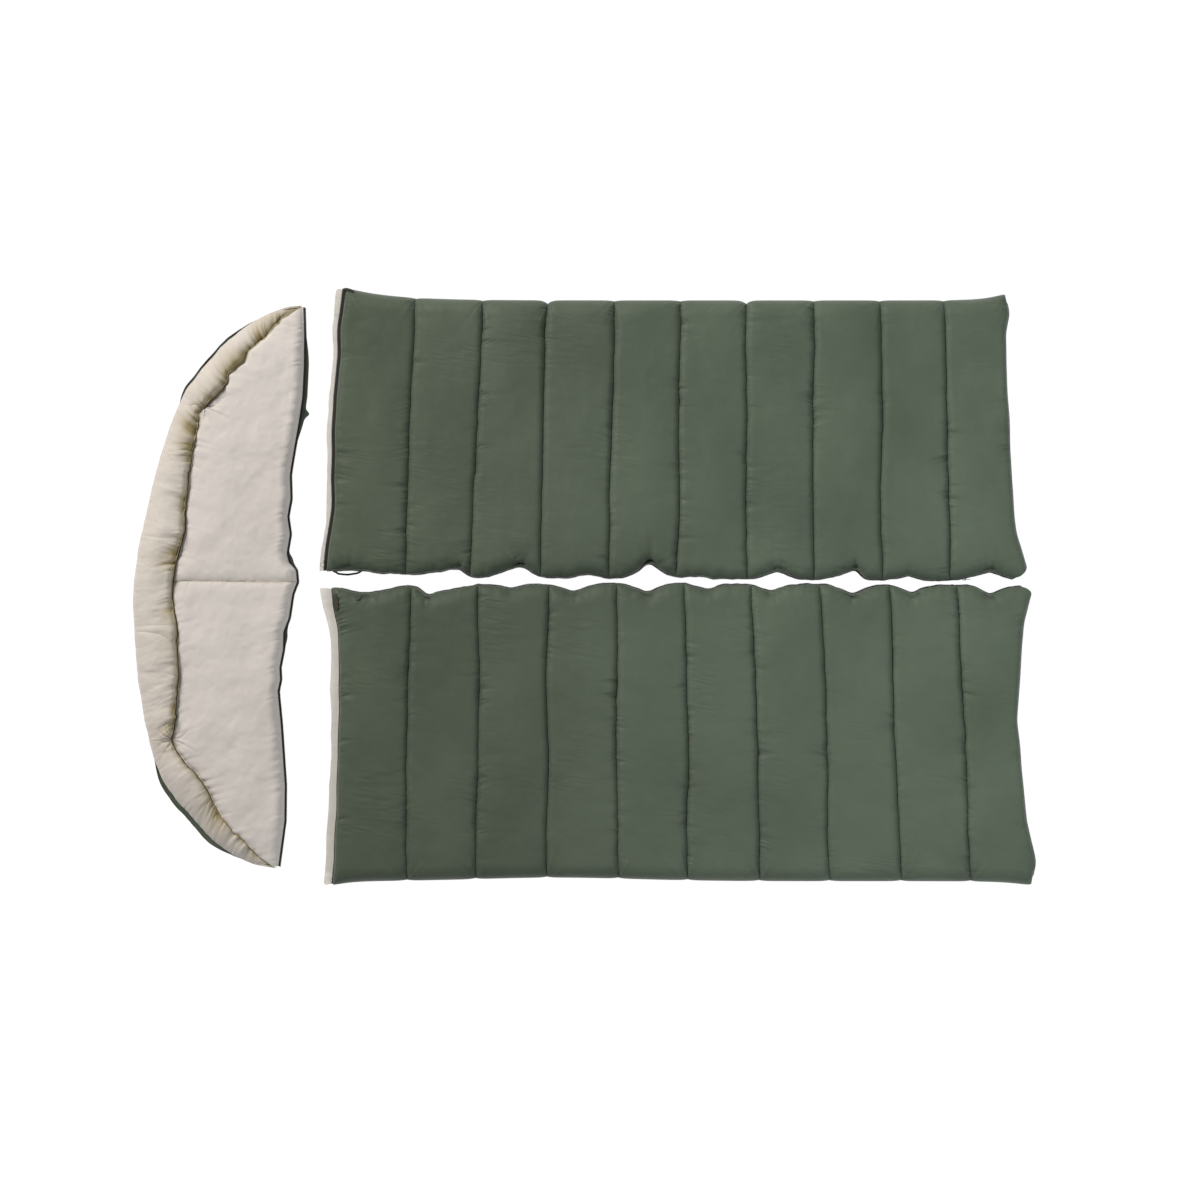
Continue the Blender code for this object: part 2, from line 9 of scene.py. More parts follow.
import bpy
import numpy as np
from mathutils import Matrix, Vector


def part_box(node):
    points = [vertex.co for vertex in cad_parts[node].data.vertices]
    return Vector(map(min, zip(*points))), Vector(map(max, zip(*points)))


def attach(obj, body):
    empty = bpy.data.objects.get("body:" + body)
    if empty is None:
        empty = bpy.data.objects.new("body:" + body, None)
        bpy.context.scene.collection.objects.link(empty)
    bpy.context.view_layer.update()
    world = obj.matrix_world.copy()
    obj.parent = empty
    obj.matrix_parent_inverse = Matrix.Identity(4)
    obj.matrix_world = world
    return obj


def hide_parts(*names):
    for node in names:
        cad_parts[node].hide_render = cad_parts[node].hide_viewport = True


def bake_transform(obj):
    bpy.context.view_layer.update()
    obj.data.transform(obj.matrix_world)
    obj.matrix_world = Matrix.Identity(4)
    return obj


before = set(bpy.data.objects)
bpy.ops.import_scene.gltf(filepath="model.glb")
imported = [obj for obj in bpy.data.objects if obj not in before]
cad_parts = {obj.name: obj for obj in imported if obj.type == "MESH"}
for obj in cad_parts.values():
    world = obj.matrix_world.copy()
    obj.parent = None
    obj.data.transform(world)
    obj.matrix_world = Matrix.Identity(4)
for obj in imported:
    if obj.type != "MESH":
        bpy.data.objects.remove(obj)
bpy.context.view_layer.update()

# Levels read from the frame
MID = (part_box("bag_a_base_lining")[1][2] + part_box("bag_a_cover_lining")[0][2]) / 2
SLEEP_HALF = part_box("bag_a_cover_lining")[0][2] - MID
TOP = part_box("bag_a_cover_shell")[1][2]
LOFT = TOP - MID - SLEEP_HALF

# Quilting
CHAMBERS = 10
SEAM_LOW = 0.009         # height of the cloth over a seam
SEAM_SWAY = 0.0045       # how far a seam wanders from a straight line
EDGE_ROUND = 0.024       # width over which a chamber rises beside a seam
EDGE_POWER = 2.9         # higher is squarer
DOME_SHARE = 0.16        # share of the loft that is a slow dome over the whole chamber
OVERHANG = 0.0016        # a chamber's wall leans out over its seam
CORNER_RADIUS = 0.035
ZIP_ROUND = 0.045        # width over which a layer thins to its zip edge
FOLD_ROUND = 0.046
ROWS = 430

# Zips
COIL_OUT = 0.0026        # the coil's line, outwards from the edge of a layer
COIL_UP = 0.0018
TOOTH_PITCH = 0.003
SIDE_TOOTH = (0.0017, 0.0024, 0.0019)
HEAD_TOOTH = (0.0019, 0.003, 0.0019)
PATH_STEP = 0.004        # spacing of the points along a zip, hem or binding
PAINTED_LIGHT_SPAN = (-0.7, 1.2)    # where along the bags the slow change of painted light, from darker at the head to brighter at the foot, starts and ends

# Floor and camera
FLOOR_REACH = 90.0
VIEW_WIDTH = 3.319       # width of the view at the height VIEW_LEVEL
VIEW_LEVEL = 0.06
VIEW_CENTRE = (0.0508, -0.0259)
LENS_MM, SENSOR_MM = 85.0, 36.0

# Where the zip edge draws in: place along the bag, depth, and width to the head and to the foot side
TROUGHS_A = (
    (-0.65, 0.023, 0.2, 0.19), (-0.342, 0.023, 0.076, 0.028), (-0.173, 0.033, 0.06, 0.048),
    (0.023, 0.011, 0.05, 0.035), (0.186, 0.04, 0.044, 0.048), (0.311, 0.008, 0.04, 0.05),
    (0.54, 0.022, 0.046, 0.038), (0.756, 0.026, 0.055, 0.022), (0.903, 0.013, 0.035, 0.022),
    (1.124, 0.025, 0.054, 0.055),
)
TROUGHS_B = (
    (-0.595, 0.021, 0.06, 0.075), (-0.428, 0.025, 0.022, 0.09), (-0.2, 0.01, 0.03, 0.045),
    (-0.02, 0.02, 0.05, 0.045), (0.18, 0.023, 0.042, 0.045), (0.347, 0.017, 0.035, 0.035),
    (0.522, 0.019, 0.045, 0.045), (0.748, 0.027, 0.042, 0.045), (0.917, 0.022, 0.045, 0.035),
    (1.13, 0.023, 0.036, 0.045),
)
# Ends of the bags: share across from the zip edge to the fold, and distance inwards from a straight end
HEAD_A = (
    (0, -0.011), (0.08, -0.011), (0.16, -0.004), (0.22, 0.001), (0.35, -0.003), (0.5, -0.009),
    (0.63, -0.01), (0.77, -0.004), (0.87, -0.009), (1, 0),
)
FOOT_A = (
    (0, 0), (0.03, -0.002), (0.155, 0.02), (0.45, 0.021), (0.77, 0.012), (0.86, 0.006), (0.94, -0.01),
    (1, 0),
)
HEAD_B = (
    (0, -0.006), (0.07, -0.001), (0.14, 0.013), (0.28, 0.017), (0.42, 0.015), (0.57, 0.012),
    (0.75, 0.01), (0.93, 0.002), (1, 0),
)
FOOT_B = (
    (0, 0), (0.12, 0.027), (0.3, 0.034), (0.45, 0.042), (0.6, 0.033), (0.79, 0.015), (0.93, -0.012),
    (1, 0),
)
# Cream strip of lining past the cover: share across, and width
STRIP_A = (
    (0, 0.019), (0.08, 0.022), (0.115, 0.018), (0.17, 0.019), (0.24, 0.024), (0.35, 0.02),
    (0.49, 0.023), (0.62, 0.021), (0.75, 0.021), (0.9, 0.024), (1, 0.028),
)
STRIP_B = (
    (0, 0.035), (0.07, 0.029), (0.14, 0.027), (0.18, 0.022), (0.35, 0.026), (0.57, 0.02), (0.8, 0.025),
    (1, 0.023),
)


# ---------------- numbers

def smoothstep(low, high, value):
    share = np.clip((value - low) / (high - low), 0.0, 1.0)
    return share * share * (3.0 - 2.0 * share)


def noise(x, y, seed):
    """Smooth value noise from -1 to 1, one bump to a unit."""
    table = np.random.default_rng(seed).uniform(-1.0, 1.0, (64, 64))
    x, y = np.broadcast_arrays(np.asarray(x, float), np.asarray(y, float))
    column, row = np.floor(x).astype(int), np.floor(y).astype(int)
    fx, fy = x - column, y - row
    fx = fx * fx * (3 - 2 * fx)
    fy = fy * fy * (3 - 2 * fy)

    def at(dx, dy):
        return table[(column + dx) % 64, (row + dy) % 64]

    low = at(0, 0) * (1 - fx) + at(1, 0) * fx
    high = at(0, 1) * (1 - fx) + at(1, 1) * fx
    return low * (1 - fy) + high * fy


def rough(x, y, seed, octaves=3):
    """Layered noise, each layer half the size and height of the last."""
    total, size = 0.0, 1.0
    for octave in range(octaves):
        total = total + noise(x / size, y / size, seed + 17 * octave) * size
        size *= 0.5
    return total


# ---------------- meshes

def placed(name, data):
    """A new object in the scene."""
    made = bpy.data.objects.new(name, data)
    bpy.context.scene.collection.objects.link(made)
    return made


def smooth_mesh(name, vertices, faces, material):
    """A smooth-shaded mesh object of one material."""
    mesh = bpy.data.meshes.new(name)
    mesh.from_pydata(vertices.tolist(), [], faces)
    mesh.update()
    mesh.shade_smooth()
    mesh.materials.append(material)
    return placed(name, mesh)


def grid_mesh(name, points, material):
    """A smooth sheet through a grid of points, shaped (columns, rows, 3)."""
    columns, rows = points.shape[:2]
    number = np.arange(columns * rows).reshape(columns, rows)
    quads = np.stack([number[:-1, :-1], number[1:, :-1], number[1:, 1:], number[:-1, 1:]], axis=-1)
    return smooth_mesh(name, points.reshape(-1, 3), quads.reshape(-1, 4).tolist(), material)


def unit(vectors):
    """The same vectors, each one long."""
    return vectors / (np.linalg.norm(vectors, axis=-1, keepdims=True) + 1e-12)


def upright(count, up=1.0):
    """As many vertical vectors as asked for."""
    return np.tile([0.0, 0.0, up], (count, 1))


def thicken(piece, thickness):
    """Gives a sheet of cloth its thickness."""
    piece.modifiers.new("Cloth", "SOLIDIFY").thickness = thickness


def tube(name, path, radius, material, sides=10, flatten=1.0):
    """A round or flattened tube along a path. radius may be a number or one for each point."""
    path = np.asarray(path, float)
    along = unit(np.gradient(path, axis=0))
    side = unit(np.cross(along, upright(len(path))))
    up = np.cross(side, along)
    radius = np.broadcast_to(np.asarray(radius, float), (len(path),))[:, None, None]
    angle = np.linspace(0, 2 * math.pi, sides, endpoint=False)
    ring = side[:, None] * np.cos(angle)[None, :, None]
    ring = ring + flatten * up[:, None] * np.sin(angle)[None, :, None]
    vertices = (path[:, None] + radius * ring).reshape(-1, 3)
    faces = []
    for step in range(len(path) - 1):
        for corner in range(sides):
            following = (corner + 1) % sides
            low, high = step * sides, (step + 1) * sides
            faces.append((low + corner, low + following, high + following, high + corner))
    faces.append(tuple(range(sides))[::-1])
    faces.append(tuple(range(len(vertices) - sides, len(vertices))))
    return smooth_mesh(name, vertices, faces, material)


def dashes(name, centres, alongs, ups, size, material):
    """Many small rounded bars in one mesh: stitches or zip teeth. size is length, width, height."""
    octagon = ((-1, -0.4), (-0.4, -1), (0.4, -1), (1, -0.4), (1, 0.4), (0.4, 1), (-0.4, 1), (-1, 0.4))
    shape = 0.5 * np.array([(x, y, z) for x in (-1, 1) for y, z in octagon]) * size
    alongs = unit(alongs)
    sides = unit(np.cross(ups, alongs))
    ups = np.cross(alongs, sides)
    points = (
        centres[:, None]
        + shape[None, :, :1] * alongs[:, None]
        + shape[None, :, 1:2] * sides[:, None]
        + shape[None, :, 2:] * ups[:, None]
    )
    quads = [(i, (i + 1) % 8, 8 + (i + 1) % 8, 8 + i) for i in range(8)]
    faces = []
    for number in range(len(centres)):
        start = number * 16
        faces += [tuple(start + i for i in quad) for quad in quads]
        faces.append(tuple(start + i for i in range(7, -1, -1)))
        faces.append(tuple(start + i for i in range(8, 16)))
    return smooth_mesh(name, points.reshape(-1, 3), faces, material)


def resampled(path, spacing):
    """Points at an even spacing along a path."""
    path = np.asarray(path, float)
    lengths = np.linalg.norm(np.diff(path, axis=0), axis=1)
    at = np.concatenate([[0.0], np.cumsum(lengths)])
    wanted = np.arange(0.0, at[-1], spacing)
    return np.stack([np.interp(wanted, at, path[:, axis]) for axis in range(3)], axis=1)


def pushed(path, outwards):
    """A path moved sideways in plan, to its right-hand side when positive."""
    path = np.asarray(path, float).copy()
    along = unit(np.gradient(path[:, :2], axis=0))
    path[:, 0] += along[:, 1] * outwards
    path[:, 1] -= along[:, 0] * outwards
    return path


# ---------------- materials

def split_place(tree):
    """A node that gives a point's place on its object as X, Y and Z."""
    split = tree.nodes.new("ShaderNodeSeparateXYZ")
    place = tree.nodes.new("ShaderNodeTexCoord")
    tree.links.new(place.outputs["Object"], split.inputs["Vector"])
    return split


class Nodes:
    """A short way to wire shader nodes."""

    def __init__(self, name):
        self.material = bpy.data.materials.new(name)
        self.material.use_nodes = True
        self.tree = self.material.node_tree
        self.shader = self.tree.nodes["Principled BSDF"]

    def add(self, kind, **values):
        node = self.tree.nodes.new(kind)
        for key, value in values.items():
            if hasattr(node, key):
                setattr(node, key, value)
            else:
                node.inputs[key.replace("_", " ")].default_value = value
        return node

    def link(self, source, target):
        self.tree.links.new(source, target)

    def noise(self, scale, detail=3.0, stretch=(1.0, 1.0, 1.0)):
        place = self.add("ShaderNodeTexCoord")
        mapping = self.add("ShaderNodeMapping")
        mapping.inputs["Scale"].default_value = stretch
        self.link(place.outputs["Object"], mapping.inputs["Vector"])
        texture = self.add("ShaderNodeTexNoise", Scale=scale, Detail=detail)
        self.link(mapping.outputs["Vector"], texture.inputs["Vector"])
        return texture.outputs["Fac"]

    def ramp(self, value, stops):
        ramp = self.add("ShaderNodeValToRGB")
        elements = ramp.color_ramp.elements
        elements[0].position, elements[0].color = stops[0][0], (*stops[0][1], 1.0)
        elements[1].position, elements[1].color = stops[-1][0], (*stops[-1][1], 1.0)
        for place, colour in stops[1:-1]:
            element = elements.new(place)
            element.color = (*colour, 1.0)
        self.link(value, ramp.inputs["Fac"])
        return ramp.outputs["Color"]

    def weave(self, threads):
        """Height of a plain weave: two crossed sets of threads, in threads to the metre."""
        split = split_place(self.tree)
        waves = []
        for axis in ("X", "Y"):
            scaled = self.add("ShaderNodeMath", operation="MULTIPLY")
            scaled.inputs[1].default_value = threads * 2 * math.pi
            self.link(split.outputs[axis], scaled.inputs[0])
            wave = self.add("ShaderNodeMath", operation="SINE")
            self.link(scaled.outputs[0], wave.inputs[0])
            waves.append(wave.outputs[0])
        product = self.add("ShaderNodeMath", operation="MULTIPLY")
        self.link(waves[0], product.inputs[0])
        self.link(waves[1], product.inputs[1])
        return product.outputs[0]

    def bump(self, height, strength, distance, below=None):
        bump = self.add("ShaderNodeBump")
        bump.inputs["Strength"].default_value = strength
        bump.inputs["Distance"].default_value = distance
        self.link(height, bump.inputs["Height"])
        if below is not None:
            self.link(below, bump.inputs["Normal"])
        return bump.outputs["Normal"]


def cloth_material(name, dark, light, roughness, sheen, weave_threads, crinkle):
    """Woven cloth: uneven dye, a fine weave, small crinkles and a soft sheen."""
    nodes = Nodes(name)
    shader = nodes.shader
    cloudy = nodes.noise(3.2, 5.0)
    colour = nodes.ramp(cloudy, ((0.32, dark), (0.68, light)))
    nodes.link(colour, shader.inputs["Base Color"])
    stops = ((0.3, (roughness - 0.06,) * 3), (0.7, (roughness + 0.06,) * 3))
    grain = nodes.ramp(nodes.noise(60.0, 4.0), stops)
    nodes.link(grain, shader.inputs["Roughness"])
    normal = nodes.bump(nodes.weave(weave_threads), 0.25, 0.0002)
    normal = nodes.bump(nodes.noise(55.0, 4.0, (1.0, 0.55, 1.0)), crinkle, 0.0016, normal)
    nodes.link(normal, shader.inputs["Normal"])
    shader.inputs["Sheen Weight"].default_value = sheen
    shader.inputs["Sheen Roughness"].default_value = 0.45
    shader.inputs["Specular IOR Level"].default_value = 0.25
    return nodes.material


def plain_material(name, colour, roughness, metallic=0.0, grain=300.0, strength=0.2):
    """Moulded, cast or braided stuff: a slightly uneven colour and a fine grain."""
    nodes = Nodes(name)
    shader = nodes.shader
    darker = tuple(0.75 * part for part in colour)
    nodes.link(nodes.ramp(nodes.noise(grain), ((0.3, darker), (0.7, colour))), shader.inputs["Base Color"])
    nodes.link(nodes.bump(nodes.noise(grain * 2), strength, 0.0004), shader.inputs["Normal"])
    shader.inputs["Roughness"].default_value = roughness
    shader.inputs["Metallic"].default_value = metallic
    return nodes.material


def mixed(tree, factor, low, high, blend="MIX"):
    """A mix of two colours; each of the three inputs is a socket or a value."""
    node = tree.nodes.new("ShaderNodeMix")
    node.data_type, node.blend_type = "RGBA", blend
    for socket, given in ((node.inputs["Factor"], factor), (node.inputs[6], low), (node.inputs[7], high)):
        if isinstance(given, bpy.types.NodeSocket):
            tree.links.new(given, socket)
        else:
            socket.default_value = given
    return node.outputs[2]


def paint_fold_shade(material, tint):
    """Painted shade: mixes a darker colour into a cloth deep in its folds and creases, by the amount
    stored on its mesh.
    """
    tree = material.node_tree
    base = tree.nodes["Principled BSDF"].inputs["Base Color"]
    depth = tree.nodes.new("ShaderNodeAttribute")
    depth.attribute_name = "painted_fold_shade"
    tree.links.new(mixed(tree, depth.outputs["Fac"], base.links[0].from_socket, (*tint, 1.0)), base)


def paint_light_along(material, at_head, at_foot):
    """Painted light: makes a cloth slowly darker towards the head of the bags and brighter and cooler
    towards their foot.
    """
    tree = material.node_tree
    base = tree.nodes["Principled BSDF"].inputs["Base Color"]
    split = split_place(tree)
    span = tree.nodes.new("ShaderNodeMapRange")
    span.inputs["From Min"].default_value, span.inputs["From Max"].default_value = PAINTED_LIGHT_SPAN
    tree.links.new(split.outputs["X"], span.inputs["Value"])
    tone = mixed(tree, span.outputs["Result"], (*at_head, 1.0), (*at_foot, 1.0))
    tree.links.new(mixed(tree, 1.0, base.links[0].from_socket, tone, "MULTIPLY"), base)


GREEN_DARK, GREEN_LIGHT = (0.056, 0.067, 0.043), (0.078, 0.09, 0.06)
CREAM_DARK, CREAM_LIGHT = (0.48, 0.458, 0.422), (0.53, 0.508, 0.472)
HOOD_DARK, HOOD_LIGHT = (0.425, 0.39, 0.362), (0.475, 0.438, 0.41)
# Painted shade: colours mixed into cloth deep in folds, creases and seams; the hood's also gives its
# crease and rim an olive tone.
CREASE_SHADE_AND_TINT = (0.235, 0.185, 0.08)
FOLD_SHADE_GREEN = (0.024, 0.03, 0.017)

SHELL = cloth_material("shell_cloth", GREEN_DARK, GREEN_LIGHT, 0.62, 0.2, 900, 0.35)
# painted shade in the shell's pleat valleys, folds and seams
paint_fold_shade(SHELL, FOLD_SHADE_GREEN)
# painted light: the shell darker at the head and brighter and cooler towards the foot
paint_light_along(SHELL, (0.7, 0.775, 0.765), (1.11, 1.27, 1.34))
LINING = cloth_material("lining_cloth", CREAM_DARK, CREAM_LIGHT, 0.72, 0.25, 900, 0.3)
HOOD_LINING = cloth_material("hood_lining_cloth", HOOD_DARK, HOOD_LIGHT, 0.72, 0.25, 900, 0.35)
# painted shade in the hood's crease, gathers and seam, with an olive tone
paint_fold_shade(HOOD_LINING, CREASE_SHADE_AND_TINT)
BINDING = cloth_material("binding_tape", (0.018, 0.022, 0.014), (0.03, 0.035, 0.023), 0.75, 0.1, 700, 0.2)
TAPE = cloth_material("zip_tape_weave", (0.012, 0.013, 0.01), (0.022, 0.023, 0.018), 0.8, 0.1, 800, 0.1)
TAPE_END = cloth_material(
    "folded_tape_end", (0.02, 0.02, 0.012), (0.032, 0.032, 0.02), 0.78, 0.1, 800, 0.2)
ZIP_PATCH = cloth_material(
    "zip_patch_cloth", (0.036, 0.042, 0.028), (0.05, 0.058, 0.04), 0.78, 0.1, 800, 0.2)
PIPING = cloth_material(
    "hood_piping_cloth", (0.04, 0.044, 0.03), (0.062, 0.066, 0.046), 0.7, 0.15, 900, 0.2)
THREAD = plain_material("dark_green_thread", (0.035, 0.046, 0.03), 0.7)
CREAM_THREAD = plain_material("cream_thread", (0.5, 0.44, 0.36), 0.7)
NYLON = plain_material("black_nylon", (0.016, 0.016, 0.015), 0.38)
METAL = plain_material("dark_enamel", (0.022, 0.022, 0.02), 0.45, 0.35, 180.0, 0.1)
BRASS = plain_material("dull_brass", (0.34, 0.32, 0.235), 0.32, 1.0, 220.0, 0.15)


# ---------------- outline of a bag

class Bag:
    """The soft outline of one bag, on the corners of its CAD linings."""

    def __init__(self, prefix, seed, troughs, crest, ends, strip, fold, seams):
        self.prefix, self.seed, self.troughs, self.crest = prefix, seed, troughs, crest
        self.head_curve, self.foot_curve = (np.array(end).T for end in ends)
        self.strip = np.array(strip).T
        self.head_flare, self.foot_flare, self.fold_sway, self.deep_notches = fold
        points = np.array([tuple(v.co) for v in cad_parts[f"{prefix}_cover_lining"].data.vertices])
        low, high = points[:, 1].min(), points[:, 1].max()
        self.to_fold = 1.0 if high + low > 0 else -1.0
        self.zip_y, self.fold_y = (low, high) if self.to_fold > 0 else (high, low)
        at_fold = points[np.abs(points[:, 1] - self.fold_y) < 1e-4, 0]
        at_zip = points[np.abs(points[:, 1] - self.zip_y) < 1e-4, 0]
        self.head = (at_zip.min(), at_fold.min())
        self.foot = (points[:, 0].max(), at_fold.max())
        self.pitch = (self.foot[0] - self.head[0]) / CHAMBERS
        self.width = abs(self.fold_y - self.zip_y)
        self.seams = [
            np.concatenate([[0.0], np.linspace(first, last, CHAMBERS - 1), [1.0]]) for first, last in seams
        ]

    def edge_x(self, number, v):
        """Where seam number runs, for shares v of the width from the zip to the fold."""
        head = self.head[0] + (self.head[1] - self.head[0]) * v
        foot = self.foot[0] + (self.foot[1] - self.foot[0]) * v
        share = self.seams[0][number] + (self.seams[1][number] - self.seams[0][number]) * v
        x = head + (foot - head) * share
        if number == 0:
            return x + soft_curve(self.head_curve, v) + 0.0018 * noise(12 * v, 0.0, self.seed + 3)
        if number == CHAMBERS:
            return x - soft_curve(self.foot_curve, v) + 0.0025 * noise(9 * v, 0.0, self.seed + 4)
        x = x + SEAM_SWAY * noise(3.5 * v, number, self.seed + 5)
        return x + 0.0014 * noise(18 * v, number, self.seed + 6)

    def zip_edge(self, x):
        """The zip edge: out at each seam, drawn in between."""
        level = self.crest[0] + self.crest[1] * ((x - self.crest[2]) / 0.95) ** 2
        for place, depth, headward, footward in self.troughs:
            share = np.abs(x - place) / np.where(x < place, headward, footward)
            level += depth * np.exp(-share ** 1.7)
        ripple = 0.0022 * rough(x / 0.026, 0.4, self.seed + 8, 4)
        return self.zip_y + self.to_fold * (level + ripple)

    def fold_edge(self, chamber, s, x):
        """The fold edge: it bulges between seams and runs out into the corners."""
        bulge = 0.0035 * (1.0 - np.abs(2 * s - 1) ** 8)
        for number in self.deep_notches:
            bulge -= 0.009 * np.exp(-np.abs(chamber + s - number) * self.pitch / 0.009)
        from_head, from_foot = np.abs(x - self.head[1]), np.abs(self.foot[1] - x)
        ends = self.head_flare[0] * np.exp(-from_head / self.head_flare[1])
        ends += self.foot_flare[0] * np.exp(-from_foot / self.foot_flare[1])
        middle = (x - self.head[1]) / (self.foot[1] - self.head[1])
        sway = self.fold_sway * np.exp(-(((middle - 0.32) / 0.16) ** 2))
        return self.fold_y + self.to_fold * (bulge + ends - sway)

    def run_out(self, chamber, s, x):
        """How far the fold edge runs out past the straight line that the cover turns on."""
        return np.maximum((self.fold_edge(chamber, s, x) - self.fold_y) * self.to_fold, 0.0)

    def plan(self, chamber, s, v):
        """Plan position for a chamber number, a share s along it, and a share v across the bag."""
        chamber, s, v = np.broadcast_arrays(chamber, s, v)
        x = np.zeros(chamber.shape)
        for number in range(CHAMBERS):
            here = chamber == number
            low, high = self.edge_x(number, v[here]), self.edge_x(number + 1, v[here])
            x[here] = low + (high - low) * s[here]
        y_zip, y_fold = self.zip_edge(x), self.fold_edge(chamber, s, x)
        y = y_zip + (y_fold - y_zip) * v
        centre = (self.foot[0] - CORNER_RADIUS, self.zip_y + self.to_fold * CORNER_RADIUS)
        dx, dy = x - centre[0], y - centre[1]
        far = np.hypot(dx, dy)
        outside = (dx > 0) & (dy * self.to_fold < 0) & (far > CORNER_RADIUS)
        shrink = np.where(outside, CORNER_RADIUS / np.maximum(far, 1e-9), 1.0)
        return centre[0] + dx * shrink, centre[1] + dy * shrink

    def to_seam(self, s):
        """Distance from the nearer seam."""
        return np.minimum(s, 1 - s) * self.pitch

    def columns(self, round_steps, flat_steps):
        """Chamber numbers and shares of the grid's columns, crowded where a chamber rises."""
        reach = EDGE_ROUND / self.pitch
        rise = reach * (1 - np.cos(0.5 * math.pi * np.arange(round_steps) / round_steps))
        flat = np.linspace(reach, 1 - reach, flat_steps)
        share = np.concatenate([rise, flat, 1 - rise[::-1]])[:-1]
        chamber = np.repeat(np.arange(CHAMBERS), len(share))
        return np.append(chamber, CHAMBERS - 1), np.append(np.tile(share, CHAMBERS), 1.0)


def soft_curve(points, share):
    """A curve through a few points, with its corners smoothed away."""
    places = np.linspace(-0.06, 1.06, 225)
    window = np.hanning(15)
    raw = np.interp(places, points[0], points[1])
    soft = np.convolve(np.pad(raw, 7, mode="edge"), window / window.sum(), mode="valid")
    return np.interp(share, places, soft)


def rows_across(count):
    """Shares across the bag, closer together at both edges."""
    even = np.linspace(0.0, 1.0, count)
    return 0.7 * even + 0.3 * (0.5 - 0.5 * np.cos(math.pi * even))


def rise(distance, reach, power):
    """A rounded step from 0 at an edge to 1 at reach and beyond."""
    near = np.clip(distance / reach, 0.0, 1.0)
    return (1.0 - (1.0 - near) ** power) ** (1.0 / power)


def fullness(bag, s, v):
    """How far the cloth stands up, from 0 on a seam to 1 where a chamber is full."""
    to_seam = bag.to_seam(s)
    steep = rise(to_seam, EDGE_ROUND, EDGE_POWER)
    dome = np.sin(math.pi * np.clip(s, 0, 1)) ** 0.7
    return ((1 - DOME_SHARE) * steep + DOME_SHARE * dome) * rise(v * bag.width, ZIP_ROUND, 2.2)


def beside(distance, reach, clear=0.004):
    """Nothing on an edge, strongest just past it, and gone far from it."""
    return np.exp(-distance / reach) * np.clip(distance / clear, 0, 1)


def side_number(chamber, s):
    """A number for each side of each chamber."""
    return np.where(s < 0.5, 2 * chamber, 2 * chamber + 1)


def ridged(x, y, seed, power=0.8):
    """Narrow valleys between rounded crests, from 0 to 1."""
    return np.abs(noise(x, y, seed)) ** power


def seam_pleats(bag, chamber, s, y):
    """Short gathers across each seam: depth of the valleys, and sideways wander of the wall."""
    to_seam = bag.to_seam(s)
    side = side_number(chamber, s)
    strength = 0.2 + np.clip(noise(y / 0.09, side * 3.7, bag.seed + 21) + 0.1, 0, 1)
    slant = y + 0.3 * to_seam * np.sign(noise(side * 1.0, 0.3, bag.seed + 22))
    reach = 0.007 + 0.016 * np.clip(noise(y / 0.018, side * 2.1, bag.seed + 24) + 0.1, 0, 1)
    near = np.exp(-to_seam / reach) * (1 - np.exp(-to_seam / 0.0018))
    fine = 1 - ridged(slant / 0.01, side * 5.3, bag.seed + 23, 0.75)
    coarse = 1 - ridged(slant / 0.024, side * 4.1, bag.seed + 28, 0.75)
    depth = strength * near * (0.009 * fine + 0.008 * coarse)
    wander = np.exp(-to_seam / 0.006) * (1 - np.exp(-to_seam / 0.0012))
    return depth, wander * 0.0012 * noise(y / 0.0075, side * 6.1, bag.seed + 27)


def edge_folds(bag, chamber, s, v, x, y):
    """Folds that fan out from each trough of the zip edge, and stars where seams meet the fold."""
    from_zip = v * bag.width
    depth = np.zeros(x.shape)
    for place, trough, headward, footward in bag.troughs:
        off = x - place
        away = np.hypot(off, from_zip + 0.004)
        turn = np.arctan2(off, from_zip + 0.01)
        fan = 1 - ridged(turn * 3.4 + place * 20, away / 0.09, bag.seed + 25, 0.45)
        reach = 0.016 + 0.8 * trough
        depth += (0.004 + 0.28 * trough) * fan * np.exp(-((away / reach) ** 1.3))
        arc = from_zip - 0.011 + 9.0 * (off - 0.003) ** 2
        crease = np.exp(-((arc / 0.003) ** 2) - (off / 0.017) ** 2)
        depth += 0.9 * max(trough - 0.014, 0.0) * crease
    tuck = 1 - ridged(x / 0.0135, y / 0.05, bag.seed + 29, 0.6)
    depth += 0.0055 * tuck * np.exp(-from_zip / 0.018)
    to_seam = bag.to_seam(s)
    from_fold = (1 - v) * bag.width
    star = np.exp(-np.hypot(to_seam, 0.45 * from_fold) / 0.026)
    turn = np.arctan2(to_seam, from_fold + 0.004)
    side = side_number(chamber, s)
    return depth + 0.008 * star * (1 - ridged(turn * 4.2, side * 1.9, bag.seed + 26))


def broad_shape(x, y, seed):
    """Slow rises and dips of a filled layer, and long soft drag lines."""
    slow = 0.0035 * noise(x / 0.16, y / 0.22, seed + 31) + 0.0022 * noise(x / 0.07, y / 0.12, seed + 32)
    drag = 0.001 * rough(x / 0.034 + y / 0.09, y / 0.045, seed + 33)
    patch = np.clip(noise(x / 0.11, y / 0.13, seed + 34), 0, 1)
    crinkle = 0.0011 * patch * (1 - 2 * ridged(y / 0.01 + x / 0.06, x / 0.05, seed + 35))
    return slow + drag + crinkle


